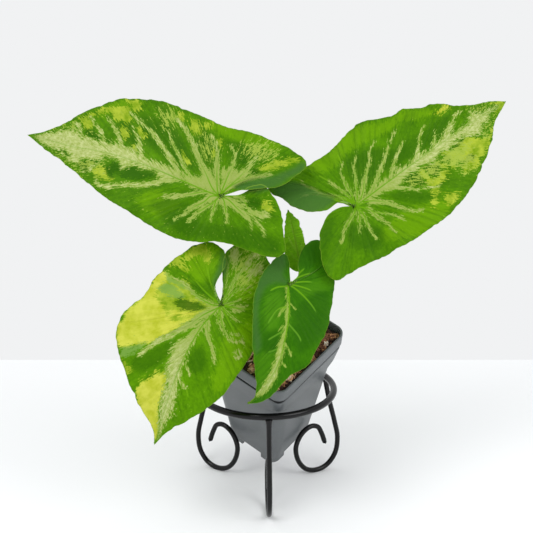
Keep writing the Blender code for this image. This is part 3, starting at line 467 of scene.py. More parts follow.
def sweep_tree():
    """Geometry Nodes that turn a route into a round wire or stalk, and keep where each point of its
    skin lies: around is its place in the round section, along its distance from the start."""
    tree, add, given = new_tree("swept_stem", {"Radius": "Float", "Sides": "Int", "Finish": "Material"})
    length = add("GeometryNodeSplineParameter").outputs["Length"]
    route = add("GeometryNodeStoreNamedAttribute", {"Geometry": given["Geometry"], "Name": "along",
            "Value": length}, data_type="FLOAT", domain="POINT").outputs[0]
    section = add("GeometryNodeCurvePrimitiveCircle", {"Resolution": given["Sides"],
            "Radius": given["Radius"]}).outputs["Curve"]
    place = add("GeometryNodeInputPosition").outputs[0]
    marked = add("GeometryNodeStoreNamedAttribute", {"Geometry": section, "Name": "around",
            "Value": place}, data_type="FLOAT_VECTOR", domain="POINT").outputs[0]
    width = add("GeometryNodeInputRadius").outputs[0]
    stem = add("GeometryNodeCurveToMesh", {"Curve": route, "Profile Curve": marked, "Fill Caps": True,
            "Scale": width}).outputs[0]
    end_tree(add, add("GeometryNodeSetShadeSmooth", {"Geometry": stem}).outputs[0], given["Finish"])
    return tree


def set_inputs(modifier, values):
    """Sets a Geometry Nodes modifier's named inputs by their identifiers."""
    for item in modifier.node_group.interface.items_tree:
        if item.item_type == "SOCKET" and item.in_out == "INPUT" and item.name in values:
            modifier[item.identifier] = values[item.name]


def swept(name, route, radius, sides, finish, tree, swell=None, closed=False):
    """A wire or stalk through the points of a route, its open ends rounded over."""
    route = np.array(route)
    swell = np.ones(len(route)) if swell is None else np.array(swell)
    if not closed:
        dome = np.radians([84, 66, 48, 30, 14])
        start = route[0] - route[1]
        start /= np.linalg.norm(start)
        end = route[-1] - route[-2]
        end /= np.linalg.norm(end)
        first = [route[0] + start * (math.sin(a) - 1) * radius * swell[0] for a in dome]
        last = [route[-1] + end * (math.sin(a) - 1) * radius * swell[-1] for a in dome[::-1]]
        keep = slice(1, -1)
        route = np.vstack([first, route[keep], last])
        swell = np.concatenate([np.cos(dome) * swell[0], swell[keep], np.cos(dome[::-1]) * swell[-1]])
    curve = bpy.data.curves.new(name, "CURVE")
    curve.dimensions = "3D"
    line = curve.splines.new("POLY")
    line.points.add(len(route) - 1)
    line.use_cyclic_u = closed
    for point, p, r in zip(line.points, route, swell):
        point.co = (*to_metres(p), 1.0)
        point.radius = r
    obj = new_object(name + "_route", curve)
    modifier = obj.modifiers.new("Sweep", "NODES")
    modifier.node_group = tree
    set_inputs(modifier, {"Radius": radius * MM, "Sides": sides, "Finish": finish})
    made = baked(obj, name)
    tidy_shell(made.data)
    return made


def tidy_shell(mesh, merge=2e-6):
    """Joins doubled points and turns every face outwards."""
    bm = bmesh.new()
    bm.from_mesh(mesh)
    bmesh.ops.remove_doubles(bm, verts=bm.verts, dist=merge)
    bmesh.ops.recalc_face_normals(bm, faces=bm.faces)
    bm.to_mesh(mesh)
    bm.free()


def skin(name, rings, *finishes):
    """A closed smooth mesh over rings of points, drawn together at both ends."""
    rings = np.array(rings)
    rows, sides = rings.shape[:2]
    points = np.vstack([rings.reshape(-1, 3), rings[0].mean(0), rings[-1].mean(0)])
    turn = (np.arange(sides) + 1) % sides
    faces = [(r * sides + i, r * sides + turn[i], (r + 1) * sides + turn[i], (r + 1) * sides + i)
            for r in range(rows - 1) for i in range(sides)]
    low = rows * sides
    faces += [(low, turn[i], i) for i in range(sides)]
    faces += [(low + 1, low - sides + i, low - sides + turn[i]) for i in range(sides)]
    mesh = bpy.data.meshes.new(name)
    mesh.from_pydata(points.tolist(), [], faces)
    mesh.shade_smooth()
    store(mesh, "row", np.append(np.repeat(np.arange(rows), sides), [0, rows - 1]))
    tidy_shell(mesh, 1e-5)
    return new_object(name, mesh, *finishes)


def build_stand(coat, tree):
    turn = np.linspace(0, TAU, 181)[:-1]
    circle = np.stack([RING_RADIUS * np.cos(turn), RING_RADIUS * np.sin(turn),
            np.full(180, RING_HEIGHT)], 1)
    ring = swept("wire_ring", circle, RING_WIRE, 28, coat, tree, closed=True)
    put_in_frame(ring, "black_powder_coat", "stand_ring")
    for side, azimuth in LEG_AZIMUTHS.items():
        azimuth = math.radians(azimuth)
        outward = np.array([math.cos(azimuth), math.sin(azimuth), 0.0])
        route = [outward * r + np.array([0, 0, z]) for r, z in LEG_ROUTE]
        route = spline(route, 150)
        route[:, 2] += LEG_WIRE - FOOT_FLAT - route[:, 2].min()
        leg = swept("wire_leg_" + side, route, LEG_WIRE, 22, coat, tree)
        for v in leg.data.vertices:
            v.co.z = max(v.co.z, 0.0)
        put_in_frame(leg, "black_powder_coat", "stand_leg_" + side)
        put_in_frame(build_weld(side, outward, coat), "black_powder_coat")


def build_weld(side, outward, coat):
    """The flare of weld that joins a leg's upper end to the underside of the ring."""
    across = np.array([-outward[1], outward[0], 0.0])
    top = LEG_ROUTE[0][1]
    lean = (LEG_ROUTE[1][0] - LEG_ROUTE[0][0]) / (top - LEG_ROUTE[1][1])
    rings = []
    for k, (drop, radius) in enumerate(WELD_FLARE):
        middle = outward * (LEG_ROUTE[0][0] + lean * max(drop, 0.0)) + np.array([0, 0, top - drop])
        loop = []
        for i in range(24):
            a = TAU * i / 24
            lumpy = radius * (1 + 0.02 * math.sin(3 * a + 2 * k) + 0.015 * math.sin(7 * a + k))
            loop.append(middle + outward * lumpy * math.cos(a) + across * lumpy * math.sin(a))
        rings.append(loop)
    weld = skin("weld_" + side, rings, coat)
    weld.matrix_world = place_of((0, 0, 0), (0, 0, 0))
    return baked(weld)


# Pot: thin injection-moulded plastic

def rounded_square(side, radius, height, per_corner=12):
    """A square's outline with its corners on the axes, rounded off."""
    half = side / 2 - radius
    loop = []
    for quarter in range(4):
        corner = quarter * math.pi / 2
        middle = np.array([math.cos(corner), math.sin(corner)]) * half * math.sqrt(2)
        for i in range(per_corner + 1):
            a = corner + math.pi * (i / per_corner - 0.5) / 2
            loop.append((middle[0] + radius * math.cos(a), middle[1] + radius * math.sin(a), height))
    return loop


def eased(stations, reach=0.6):
    """A profile with each of its corners rounded over a short reach."""
    stations = [np.array(s, float) for s in stations]
    made = [stations[0]]
    for a, b, c in zip(stations, stations[1:], stations[2:]):
        start = b + (a - b) * min(reach / np.linalg.norm(a - b), 0.4)
        end = b + (c - b) * min(reach / np.linalg.norm(c - b), 0.4)
        for t in (0, 0.33, 0.67, 1):
            made.append((1 - t) ** 2 * start + 2 * t * (1 - t) * b + t * t * end)
    return made + [stations[-1]]


def pot_side(height):
    """Outer side of the tapered body at a height over its feet."""
    top = POT_HEIGHT - POT_BAND
    wider = POT_RIM_SIDE - POT_BAND_STEP - POT_BASE_SIDE
    return POT_BASE_SIDE + wider * (height - POT_FOOT) / (top - POT_FOOT)


def cutter(name, size, centre, group, sides=0):
    """A block, or a drill where it has sides, that takes its shape out of the pot."""
    bm = bmesh.new()
    if sides:
        bmesh.ops.create_cone(bm, cap_ends=True, segments=sides, radius1=size[0], radius2=size[0],
                depth=size[2])
    else:
        bmesh.ops.create_cube(bm, size=1.0)
        bmesh.ops.scale(bm, vec=size, verts=bm.verts)
        slim = [e for e in bm.edges if abs(e.verts[0].co.z - e.verts[1].co.z) < 1e-6
                and e.verts[0].co.z > 0]
        bmesh.ops.bevel(bm, geom=slim, offset=1.2, segments=3, affect="EDGES", profile=0.5)
    bmesh.ops.translate(bm, vec=centre, verts=bm.verts)
    mesh = bpy.data.meshes.new(name)
    bm.to_mesh(mesh)
    bm.free()
    obj = bpy.data.objects.new(name, mesh)
    group.objects.link(obj)
    obj.matrix_world = place_of(POT_PLACE, POT_TURN) @ Matrix.Rotation(math.radians(45), 4, "Z")
    return obj


def build_pot(plastic):
    band = POT_HEIGHT - POT_LIP
    step = POT_HEIGHT - POT_BAND - POT_SHOULDER
    bulge = step - POT_SHOULDER_RISE
    floor = POT_FOOT + POT_WALL
    thin = 2 * POT_WALL
    outer = eased([
        (POT_BASE_SIDE - POT_FOOT_INSET, 7.0, 0.0), (POT_BASE_SIDE - 2.6, 7.0, POT_FOOT - 1.0),
        (POT_BASE_SIDE, 8.0, POT_FOOT), (pot_side(bulge), 13.0, bulge),
        (pot_side(step), 6.0, step), (pot_side(band - POT_GAP) + 1.4, 6.0, band - POT_GAP),
        (pot_side(band) - 2.4, 5.6, band - POT_GAP + 0.3), (pot_side(band) - 2.4, 5.6, band),
        (POT_RIM_SIDE - 0.8, 7.5, band), (POT_RIM_SIDE, 8.0, POT_HEIGHT - 0.8),
        (POT_RIM_SIDE - 0.8, 7.6, POT_HEIGHT)])
    inner = eased([
        (POT_RIM_SIDE - thin - 0.4, 7.0, POT_HEIGHT), (POT_RIM_SIDE - thin - 0.6, 6.8, band + 2.0),
        (pot_side(band) - thin - 0.4, 5.2, band + 0.4), (pot_side(step) - thin, 5.4, step),
        (pot_side(bulge) - thin, 12.0, bulge), (pot_side(floor) - thin, 7.2, floor)])
    rings = [rounded_square(*s) for s in outer + inner]
    pot = skin("pot_shell", rings, plastic)
    row = np.zeros(len(pot.data.vertices), np.float32)
    pot.data.attributes["row"].data.foreach_get("value", row)
    # The gap under the rim band is marked for painted shade, near black
    store(pot.data, "groove_shade", (row >= GROOVE_ROWS[0]) & (row <= GROOVE_ROWS[1]))
    pot.matrix_world = place_of(POT_PLACE, POT_TURN)
    group = bpy.data.collections.new("pot_cutters")
    bpy.context.scene.collection.children.link(group)
    gap = POT_BASE_SIDE - 2 * POT_FOOT_ARM
    reach = POT_BASE_SIDE + 10.0
    depth = POT_FOOT + 10.0
    hollow = POT_BASE_SIDE - POT_FOOT_INSET - 2 * POT_FOOT_WALL
    low = POT_FOOT - depth / 2
    cutter("between_feet_x", (reach, gap, depth), (0, 0, low - 0.2), group)
    cutter("between_feet_y", (gap, reach, depth), (0, 0, low - 0.3), group)
    cutter("behind_feet", (hollow, hollow, depth), (0, 0, low - 0.4), group)
    for x, y in [(0, 0)] + [(DRAIN_SPREAD * i, DRAIN_SPREAD * j) for i in (-1, 1) for j in (-1, 1)]:
        cutter("drain", (DRAIN_RADIUS, DRAIN_RADIUS, 3 * POT_WALL + 1), (x, y, floor - POT_WALL / 2),
                group, 28)
    cut = pot.modifiers.new("Cut", "BOOLEAN")
    cut.operation = "DIFFERENCE"
    cut.operand_type = "COLLECTION"
    cut.collection = group
    cut.solver = "EXACT"
    pot = baked(pot)
    for obj in list(group.objects):
        bpy.data.objects.remove(obj, do_unlink=True)
    bpy.data.collections.remove(group)
    pot.data.set_sharp_from_angle(angle=math.radians(32))
    put_in_frame(pot, "grey_pot_plastic", "pot")


# Potting mix: bark chips, crumbs, fibres and a few pale bits over a crumbly bed

BARK_VARIANTS = 4
BARK_BLOCKS = {                # what the bits are broken from
    "chip": ("GeometryNodeMeshCube",
             {"Size": (1, 1, 1), "Vertices X": 4, "Vertices Y": 3, "Vertices Z": 2}),
    "crumb": ("GeometryNodeMeshIcoSphere", {"Radius": 0.55, "Subdivisions": 1}),
}
# How many bits on a square mm (each), how far from the pot's wall, least and most size, how far they
# may tip in radians, and their tones from darkest (0) to palest (1)
BARK_KINDS = [
    dict(name="Chips", block="chip", each=0.16, wall=3.6,
         least=(3.5, 2.4, 1.4), most=(8.0, 5.0, 3.0), tip=0.6, tone=(0.1, 0.95)),
    dict(name="Splinters", block="chip", each=0.06, wall=4.0,
         least=(4, 0.8, 0.6), most=(10, 1.8, 1.2), tip=0.5, tone=(0.3, 0.85)),
    dict(name="Crumbs", block="crumb", each=0.55, wall=1.5,
         least=(0.9, 0.8, 0.7), most=(2.6, 2.2, 1.9), tip=1.5, tone=(0.0, 0.6)),
    dict(name="Pale bits", block="crumb", each=0.02, wall=2.0,
         least=(1.0, 0.9, 0.8), most=(2.3, 2.0, 1.8), tip=1.5, tone=(0.92, 1.0)),
]


def mix_height(x, y):
    """Height of the bed's surface over a point, in the stand's frame."""
    frame_of_pot = place_of(POT_PLACE, POT_TURN)
    up = (frame_of_pot.to_3x3() @ Vector((0, 0, 1))).normalized()
    middle = (frame_of_pot @ Vector((0, 0, POT_HEIGHT - MIX_DROP)) - STAND_ORIGIN) / MM
    return middle.z - (up.x * (x - middle.x) + up.y * (y - middle.y)) / up.z


def scatter_tree():
    """Geometry Nodes that strew the kinds of bark over the bed."""
    tree, add, given = new_tree("strewn_bark", {"Finish": "Material", "Seed": "Int",
            **{kind["name"] + " per mm2": "Float" for kind in BARK_KINDS}})
    place = add("GeometryNodeInputPosition").outputs[0]
    clear = add("GeometryNodeInputNamedAttribute", {"Name": "clear"}, data_type="FLOAT").outputs[0]
    heap = add("GeometryNodeJoinGeometry", {0: given["Geometry"]})
    for number, kind in enumerate(BARK_KINDS):
        bits = add("GeometryNodeJoinGeometry")
        for variant in range(BARK_VARIANTS):
            block = add(*BARK_BLOCKS[kind["block"]]).outputs["Mesh"]
            spot = add("ShaderNodeVectorMath", {0: place, 1: (7.3 * variant + number, 3.1, 1.7)},
                    operation="ADD").outputs[0]
            rough = add("ShaderNodeTexNoise", {"Vector": spot, "Scale": 1.9,
                    "Detail": 1.0}).outputs["Color"]
            push = add("ShaderNodeVectorMath", {0: rough, 1: (0.8, 0.8, 0.8), 2: (-0.4, -0.4, -0.4)},
                    operation="MULTIPLY_ADD").outputs[0]
            broken = add("GeometryNodeSetPosition", {"Geometry": block, "Offset": push}).outputs[0]
            fill(bits, {0: add("GeometryNodeGeometryToInstance", {"Geometry": broken}).outputs[0]})
        seed = add("ShaderNodeMath", {0: given["Seed"], 1: float(number)}, operation="ADD").outputs[0]
        inside = add("FunctionNodeCompare", {0: clear, 1: kind["wall"]}, data_type="FLOAT",
                operation="GREATER_THAN").outputs[0]
        spots = add("GeometryNodeDistributePointsOnFaces", {"Mesh": given["Geometry"],
                "Selection": inside, "Density": given[kind["name"] + " per mm2"],
                "Seed": seed}).outputs["Points"]
        size = add("FunctionNodeRandomValue", {0: kind["least"], 1: kind["most"], "Seed": seed},
                data_type="FLOAT_VECTOR").outputs[0]
        tip = kind["tip"]
        lie = add("FunctionNodeRandomValue", {0: (-tip, -tip, 0), 1: (tip, tip, TAU), "Seed": seed},
                data_type="FLOAT_VECTOR").outputs[0]
        pick = add("FunctionNodeRandomValue", {4: 0, 5: BARK_VARIANTS - 1, "Seed": seed},
                data_type="INT").outputs[2]
        laid = add("GeometryNodeInstanceOnPoints", {"Points": spots, "Instance": bits.outputs[0],
                "Pick Instance": True, "Instance Index": pick, "Rotation": lie,
                "Scale": size}).outputs[0]
        low, high = kind["tone"]
        tone = add("FunctionNodeRandomValue", {2: low, 3: high, "Seed": seed},
                data_type="FLOAT").outputs[1]
        fill(heap, {0: add("GeometryNodeStoreNamedAttribute", {"Geometry": laid, "Name": "tone",
                "Value": tone}, data_type="FLOAT", domain="INSTANCE").outputs[0]})
    end_tree(add, heap.outputs[0], given["Finish"])
    return tree


def build_mix(bark):
    top = POT_HEIGHT - MIX_DROP
    band = POT_HEIGHT - POT_BAND
    step = band - POT_SHOULDER
    bulge = step - POT_SHOULDER_RISE
    thin = 2 * (POT_WALL + 0.3)
    floor = POT_FOOT + POT_WALL + 0.3
    rings = [rounded_square(*s, 16) for s in [
        (pot_side(floor) - thin, 7.0, floor), (pot_side(bulge) - thin, 11.8, bulge),
        (pot_side(step) - thin, 5.2, step + 0.4), (pot_side(band) - thin, 5.2, band),
        (pot_side(band) - thin + 1.6, 5.2, top + 1.0)]]
    rows = 40
    rim = np.array(rings[-1])
    for k in range(1, rows):
        ring = rim * (1 - k / rows)
        heights = [top + 2.0 + 1.8 * noise.noise(Vector((x, y, 3)) * 0.11)
                + 1.1 * noise.noise(Vector((x, y, 9)) * 0.4)
                + 0.6 * noise.noise(Vector((x, y, 5)) * 1.1) for x, y, _ in ring]
        rings.append([(x, y, h) for (x, y, _), h in zip(ring, heights)])
    mix = skin("bark_mix", rings, bark)
    store(mix.data, "clear", [(POT_RIM_SIDE - 6) / 2 - (abs(v.co.x) + abs(v.co.y)) / math.sqrt(2)
            if v.co.z > top - 3.5 else -1 for v in mix.data.vertices])
    store(mix.data, "tone", [0.04] * len(mix.data.vertices))
    mix.matrix_world = place_of(POT_PLACE, POT_TURN)
    modifier = mix.modifiers.new("Bark", "NODES")
    modifier.node_group = scatter_tree()
    set_inputs(modifier, {"Finish": bark, "Seed": 11,
            **{kind["name"] + " per mm2": kind["each"] for kind in BARK_KINDS}})
    put_in_frame(baked(mix), "bark_potting_mix", "potting_mix")


def store(mesh, name, values, kind="FLOAT"):
    """Keeps a value at every point of a mesh, under a name that materials read."""
    layer = mesh.attributes.new(name, kind, "POINT")
    key = "value" if kind == "FLOAT" else "vector"
    layer.data.foreach_set(key, np.array(values, np.float32).ravel())


# Crown and stalks

def build_crown(stalk):
    """The short stem, wrapped in the sheaths of old stalks and closed by a rolled new leaf."""
    x, y = CROWN_PLACE
    base = mix_height(x, y) - STEM_SINK
    tall = STEM_SINK + CROWN_RISE
    profile = spline([(0.82, 0), (1.0, 2), (1.0, tall * 0.5), (0.9, tall * 0.72), (0.62, tall * 0.86),
            (0.34, tall * 0.96), (0.12, tall * 1.0)], 60)
    rings = []
    for r, z, _ in profile:
        loop = []
        for i in range(48):
            a = TAU * i / 48
            sheath = (a / TAU * 2 + z / 16) % 1.0
            wrap = 1 + 0.07 * (sheath - 0.5) * smooth_step(r * 2.0 - 0.2)
            loop.append((x + CROWN_RADIUS * r * wrap * math.cos(a),
                    y + CROWN_RADIUS * r * wrap * math.sin(a), base + z))
        rings.append(loop)
    crown = skin("crown_sheaths", rings, stalk)
    count = len(crown.data.vertices)
    store(crown.data, "along", [(v.co.z - base) * MM for v in crown.data.vertices])
    store(crown.data, "around", np.array([((v.co.x - x) * MM, (v.co.y - y) * MM, 0)
            for v in crown.data.vertices]), "FLOAT_VECTOR")
    store(crown.data, "young", [0.6] * count)
    crown.matrix_world = place_of((0, 0, 0), (0, 0, 0))
    put_in_frame(baked(crown), "green_stalk", "crown")


def build_petiole(name, leaf, stalk, tree):
    """The stalk of one leaf, up to the underside of its blade."""
    x, y = PETIOLES[name][0]
    surface = mix_height(x, y)
    route = [(x, y, surface - STEM_SINK), (x, y, surface + 2.0)] + PETIOLES[name][1:]
    turned = Euler([math.radians(a) for a in leaf["turn"]], "XYZ").to_matrix()
    lobed = is_lobed(leaf)
    end = Vector((0.4, 0, -RIB_THICKNESS * 0.8)) if lobed else Vector((0.6, 0, -RIB_THICKNESS / 2))
    route.append(Vector(leaf["junction"]) + turned @ end)
    route = spline(route, 110)
    up = np.linspace(0, 1, len(route))
    swell = PETIOLE_RADIUS + (PETIOLE_BASE - PETIOLE_RADIUS) * smooth_step(1 - up * 2.2)
    swell = swell + 0.22 * np.exp(-((up - 0.975) / 0.03) ** 2) - 0.25 * smooth_step((up - 0.55) * 2)
    piece = swept("stalk_" + name, route, PETIOLE_RADIUS, 20, stalk, tree, swell / PETIOLE_RADIUS)
    store(piece.data, "young", [1.0 if name == "young" else 0.3] * len(piece.data.vertices))
    put_in_frame(piece, "green_stalk", "petiole_" + name)


# Blades

PHOTO_PIXEL = 0.67             # width in mm of one pixel of the photograph at the plant
ROW_SLANT = 1.8                # how far the rows of a blade lean towards its tip, as its side veins do
PATCHES = ("cream", "lime", "gold", "grey", "speckled", "island", "curl", "light", "deep")
NO_PATCH = -30.0               # depth where a blade has no such patch
SCALLOP = 0.95                 # mm that the uneven scallops of a margin stand out or in
CORNER_REACH = 4.2             # how far a pointed scallop of a margin reaches either way
SIDE_VEIN_GAP = 12.4           # mm between the fine side veins, at the margin
HUB_REACH = 14.0               # veins that start nearer than this run on to the stalk


def is_lobed(leaf):
    return any(p[0] < 0 for p in leaf["first"])


def lobe_points(leaf, margin, first, t):
    """Points from the stalk to a place on a lobe's margin, led round the gap between the lobes."""
    reach = math.hypot(*margin[:2])
    gap = math.atan2(leaf["sinus"][1], leaf["sinus"][0])
    side = 1.0 if first else -1.0
    away = side * (gap - math.atan2(margin[1], margin[0]))
    away = (away + math.pi / 2) % TAU - math.pi / 2
    least = SINUS_ANGLE * float(smooth_step((reach - 4.0) / 5.0))
    bend = min(1.0, max(0.0, least - away) / SINUS_ANGLE)
    leave = gap - side * max(away, least)
    lead = np.array([math.cos(leave), math.sin(leave)]) * reach * (0.5 + 0.35 * bend)
    t = t[:, None]
    return lead * 2 * t * (1 - t) + margin[:2] * t * t


def nearest(points, line):
    """How far each point is from a line of points, and how far along the line its nearest place is."""
    line = np.array(line, float)
    best = np.full(len(points), 1e9)
    along = np.zeros(len(points))
    steps = np.linalg.norm(np.diff(line, axis=0), axis=1)
    gone = 0.0
    for a, b, step in zip(line, line[1:], steps):
        t = np.clip((points - a) @ (b - a) / max(step * step, 1e-9), 0, 1)
        away = np.linalg.norm(points - a - t[:, None] * (b - a), axis=1)
        near = away < best
        best[near] = away[near]
        along[near] = (gone + t[near] * step) / steps.sum()
        gone += step
    return best, along


def depth_in(points, outlines):
    """How far each point lies inside any of the outlines, in mm; below zero outside them."""
    deepest = np.full(len(points), NO_PATCH)
    for outline in outlines:
        ring = spline(list(outline) + [outline[0]], 6 * len(outline))[:, :2]
        inside = np.zeros(len(points), bool)
        for a, b in zip(ring, ring[1:]):
            level = (a[1] > points[:, 1]) != (b[1] > points[:, 1])
            rise = b[1] - a[1] or 1e-9
            cross = a[0] + (points[:, 1] - a[1]) * (b[0] - a[0]) / rise
            inside ^= level & (points[:, 0] < cross)
        away = nearest(points, ring)[0]
        deepest = np.maximum(deepest, np.where(inside, away, -away))
    return deepest


def depth_in_streaks(points, streaks):
    """The same for tapering streaks, drawn as lines with a width at either end."""
    deepest = np.full(len(points), NO_PATCH)
    for start, end, line in streaks:
        away, along = nearest(points, spline(line, 8 * len(line))[:, :2])
        half = PHOTO_PIXEL / 2 * (start + (end - start) * along)
        deepest = np.maximum(deepest, half - away)
    return deepest


def blade_height(leaf, u, v, first, s, t, rib, vein, rows):
    """Height of the bent blade over its flat outline, with sunk veins and raised green between them."""
    x = u / leaf["length"]
    h = 4 * leaf["arch"] * x * np.where(x > 0, 1 - x, 1.0)
    h = h + leaf["fold"] * (np.sqrt(v * v + 9.0) - 3.0)
    h = h - leaf["roll"] * (v / leaf["reach"]) ** 2
    side = np.where(first, 1.0, -1.0)
    free = smooth_step((np.hypot(u, v) - 5.0) / 18.0)
    h = h + side * leaf["lap"] * free * smooth_step(-u / 10.0)
    wave = np.sin(TAU * leaf["waves"] * s + 1.3 * side)
    h = h + leaf["wave"] * free * smooth_step(8 * s) * t ** 3 * wave
    h = h - (0.40 * np.exp(-(rib / 1.5) ** 2) + 0.22 * np.exp(-(vein / 0.9) ** 2))
    h = h + 0.5 * (1 - np.exp(-(vein / 4.5) ** 2)) * free * (1 - t ** 4)
    return h - 0.24 * np.cos(TAU * rows) * free * smooth_step(4 * t) * (1 - t ** 6)


def crimped(margin, leaf, place):
    """A margin with the small uneven scallops of a living leaf, still at its tip and sinus."""
    ahead = np.gradient(margin, axis=0)
    out = np.stack([ahead[:, 1], -ahead[:, 0]], 1)
    out /= np.maximum(np.linalg.norm(out, axis=1), 1e-6)[:, None]
    gone = np.linspace(0, 1, len(margin))
    still = smooth_step(gone * 12) * smooth_step((1 - gone) * 6)
    length = MARGIN_LENGTH * leaf["length"]
    push = [noise.noise(Vector((g * length / 9.0, place, leaf["length"])))
            + 0.5 * noise.noise(Vector((g * length / 3.5, place, 5.0))) for g in gone]
    margin = margin + out * (SCALLOP * still * np.array(push))[:, None]
    for u, v, rise in leaf.get("corners", []):
        away = np.linalg.norm(margin - (u, v), axis=1)
        margin = margin + out * (rise * np.exp(-away / CORNER_REACH))[:, None]
    return margin


def build_blade(name, leaf, upper, under):
    """One leaf blade: a fine net from tip to sinus and from midrib to margins, bent and thickened."""
    lobed = is_lobed(leaf)
    columns, across = BLADE_NET if lobed else YOUNG_NET
    wide = 2 * across + 1
    tip = leaf["midrib"][0]
    margins = [crimped(spline([tip] + leaf[side] + [leaf["sinus"]], columns)[:, :2], leaf, 31.0 * n)
            for n, side in enumerate(("first", "second"))]
    ahead = int(np.flatnonzero(margins[0][:, 0] > 0.1 * leaf["length"]).max()) if lobed else columns
    midrib = spline(leaf["midrib"], 400)[:, :2]
    lean = 1 - (1 - np.linspace(0, 1, ahead + 1)) ** (ROW_SLANT if lobed else 1.0)
    rib = np.stack([np.interp(lean * 400, np.arange(401), midrib[:, i]) for i in (0, 1)], 1)

    # The flat net, row by row from the midrib to either margin
    t = np.linspace(0, 1, across + 1) ** 1.1
    flat = np.zeros((columns + 1, wide, 2))
    for number, first in enumerate((True, False)):
        for column in range(columns + 1):
            margin = margins[number][column]
            if column <= ahead:
                row = rib[column] + (margin - rib[column]) * t[:, None]
            else:
                row = lobe_points(leaf, margin, first, t)
            if first:
                flat[column, across:] = row
            else:
                flat[column, :across + 1] = row[::-1]
    points = flat.reshape(-1, 2)
    share = np.repeat(np.linspace(0, 1, columns + 1), wide)
    out = np.tile(np.concatenate([t[::-1], t[1:]]), columns + 1)
    first = np.tile(np.arange(wide) > across, columns + 1)

    # How far each point lies from the midrib, the side veins and the margins
    side_veins = [line for _, _, line in leaf.get("streaks", [])] + leaf.get("veins", [])
    side_veins = [[(0, 0)] + line if 0 < math.hypot(*line[0]) < HUB_REACH else line
            for line in side_veins]
    rib_away = nearest(points, midrib)[0]
    vein_away = np.full(len(points), 40.0)
    for line in side_veins:
        away, along = nearest(points, spline(line, 8 * len(line))[:, :2])
        vein_away = np.minimum(vein_away, away + 2.5 * smooth_step((along - 0.6) / 0.4))
    rows = share * MARGIN_LENGTH * leaf["length"] / SIDE_VEIN_GAP
    rows = rows + 0.6 * np.sin(23 * share + leaf["length"])
    rows = rows + 0.35 * np.sin(61 * share) + 0.2 * np.sin(97 * share)
    height = blade_height(leaf, points[:, 0], points[:, 1], first, share, out, rib_away, vein_away,
            rows)
    edge = np.minimum(nearest(points, margins[0])[0], nearest(points, margins[1])[0])

    corner = [c * wide + r for c in range(columns) for r in range(2 * across)]
    faces = [(i, i + wide, i + wide + 1, i + 1) for i in corner]
    mesh = bpy.data.meshes.new("leaf_" + name)
    mesh.from_pydata([(u, v, h) for (u, v), h in zip(points, height)], [], faces)

    # What the finish reads at every point
    streaks = 1.6 * depth_in_streaks(points, leaf.get("streaks", [])) + 0.1
    fields = {key: depth_in(points, leaf.get(key, [])) for key in PATCHES}
    cream = np.maximum(fields["cream"], streaks) - 2.0 * np.exp(-edge / 2.5)
    cream = np.minimum(cream, 0.8 - fields["island"])
    swell = (1 - 0.75 * np.clip(points[:, 0] / leaf["length"], 0, 1)) * np.exp(-(rib_away / 1.3) ** 2)
    swell = swell + 0.22 * np.exp(-(vein_away / 0.8) ** 2)
    fields.update(cream=cream, halo=cream + 0.4, core=cream - 1.8,
            fleck=np.maximum(leaf["flecks"] - 11.0, fields.pop("speckled") * 0.5 - 1.5),
            gold=np.maximum(fields["gold"], depth_in_streaks(points, leaf.get("gold_streaks", []))),
            edge=edge, rib=rib_away, vein=vein_away, rows=rows, tone=np.full(len(points), leaf["tone"]),
            swell=swell)
    for key, values in fields.items():
        store(mesh, key, values)
    side = np.where(first, 1.0, -1.0)
    grain = np.stack([share * side * MARGIN_LENGTH * leaf["length"], out * leaf["reach"], height], 1)
    store(mesh, "grain", grain, "FLOAT_VECTOR")
    store(mesh, "flat", np.stack([points[:, 0], points[:, 1], np.zeros(len(points))], 1),
            "FLOAT_VECTOR")

    # Thickness: full along the midrib, thin towards the margins
    bm = bmesh.new()
    bm.from_mesh(mesh)
    bmesh.ops.remove_doubles(bm, verts=bm.verts, dist=0.02)
    bmesh.ops.dissolve_degenerate(bm, edges=bm.edges, dist=1e-4)
    layer = bm.verts.layers.float["swell"]
    weights = [min(1.0, v[layer]) for v in bm.verts]
    bm.normal_update()
    if sum(f.normal.z for f in bm.faces) < 0:
        bmesh.ops.reverse_faces(bm, faces=bm.faces)
    bm.to_mesh(mesh)
    bm.free()
    mesh.shade_smooth()
    blade = new_object("leaf_" + name, mesh, upper, under)
    group = blade.vertex_groups.new(name="thickness")
    for i, w in enumerate(weights):
        group.add([i], w, "REPLACE")
    shell = blade.modifiers.new("Thickness", "SOLIDIFY")
    shell.thickness = RIB_THICKNESS
    shell.offset = -1.0
    shell.vertex_group = "thickness"
    shell.thickness_vertex_group = BLADE_THICKNESS / RIB_THICKNESS
    shell.material_offset = 1
    blade.matrix_world = place_of(leaf["junction"], leaf["turn"])
    slot = "dark_green_leaf" if name == "front" else "variegated_leaf"
    put_in_frame(baked(blade), slot, "blade_" + name)


# Finishes

# How torn a leaf's patches are, and its greens above and below: dark, bright, on veins, and a lighter
# and a darker green laid over parts of it, partly its own tone and partly painted light and painted
# shade; the darker one is also painted shade in the furrows of its side veins
LEAF_GREENS = {
    "variegated": (1.0, ("#265601", "#548803", "#6c9c14", "#6c9c05", "#225202"),
                   ("#44741c", "#6d9a30", "#8db257", "#7fa63c", "#3c6c1c")),
    "dark_green": (0.5, ("#265c04", "#3f7a06", "#5f9428", "#4a820e", "#1f5205"),
                   ("#44792a", "#6a9c3c", "#90b662", "#72a040", "#3a6c24")),
    "young": (0.4, ("#3f7a08", "#6ba413", "#8ab53a", "#7ab01c", "#3a7006"),
              ("#5a8f24", "#82b23f", "#9cc060", "#8cba48", "#558a24")),
}


def new_finish(name, **sockets):
    """A material with a Principled shader, its constant values set on its own sockets."""
    mat = bpy.data.materials.new(name)
    mat.use_nodes = True
    shader = mat.node_tree.nodes["Principled BSDF"]
    fill(shader, {key.replace("_", " "): value for key, value in sockets.items()})
    return mat, partial(add_node, mat.node_tree), shader


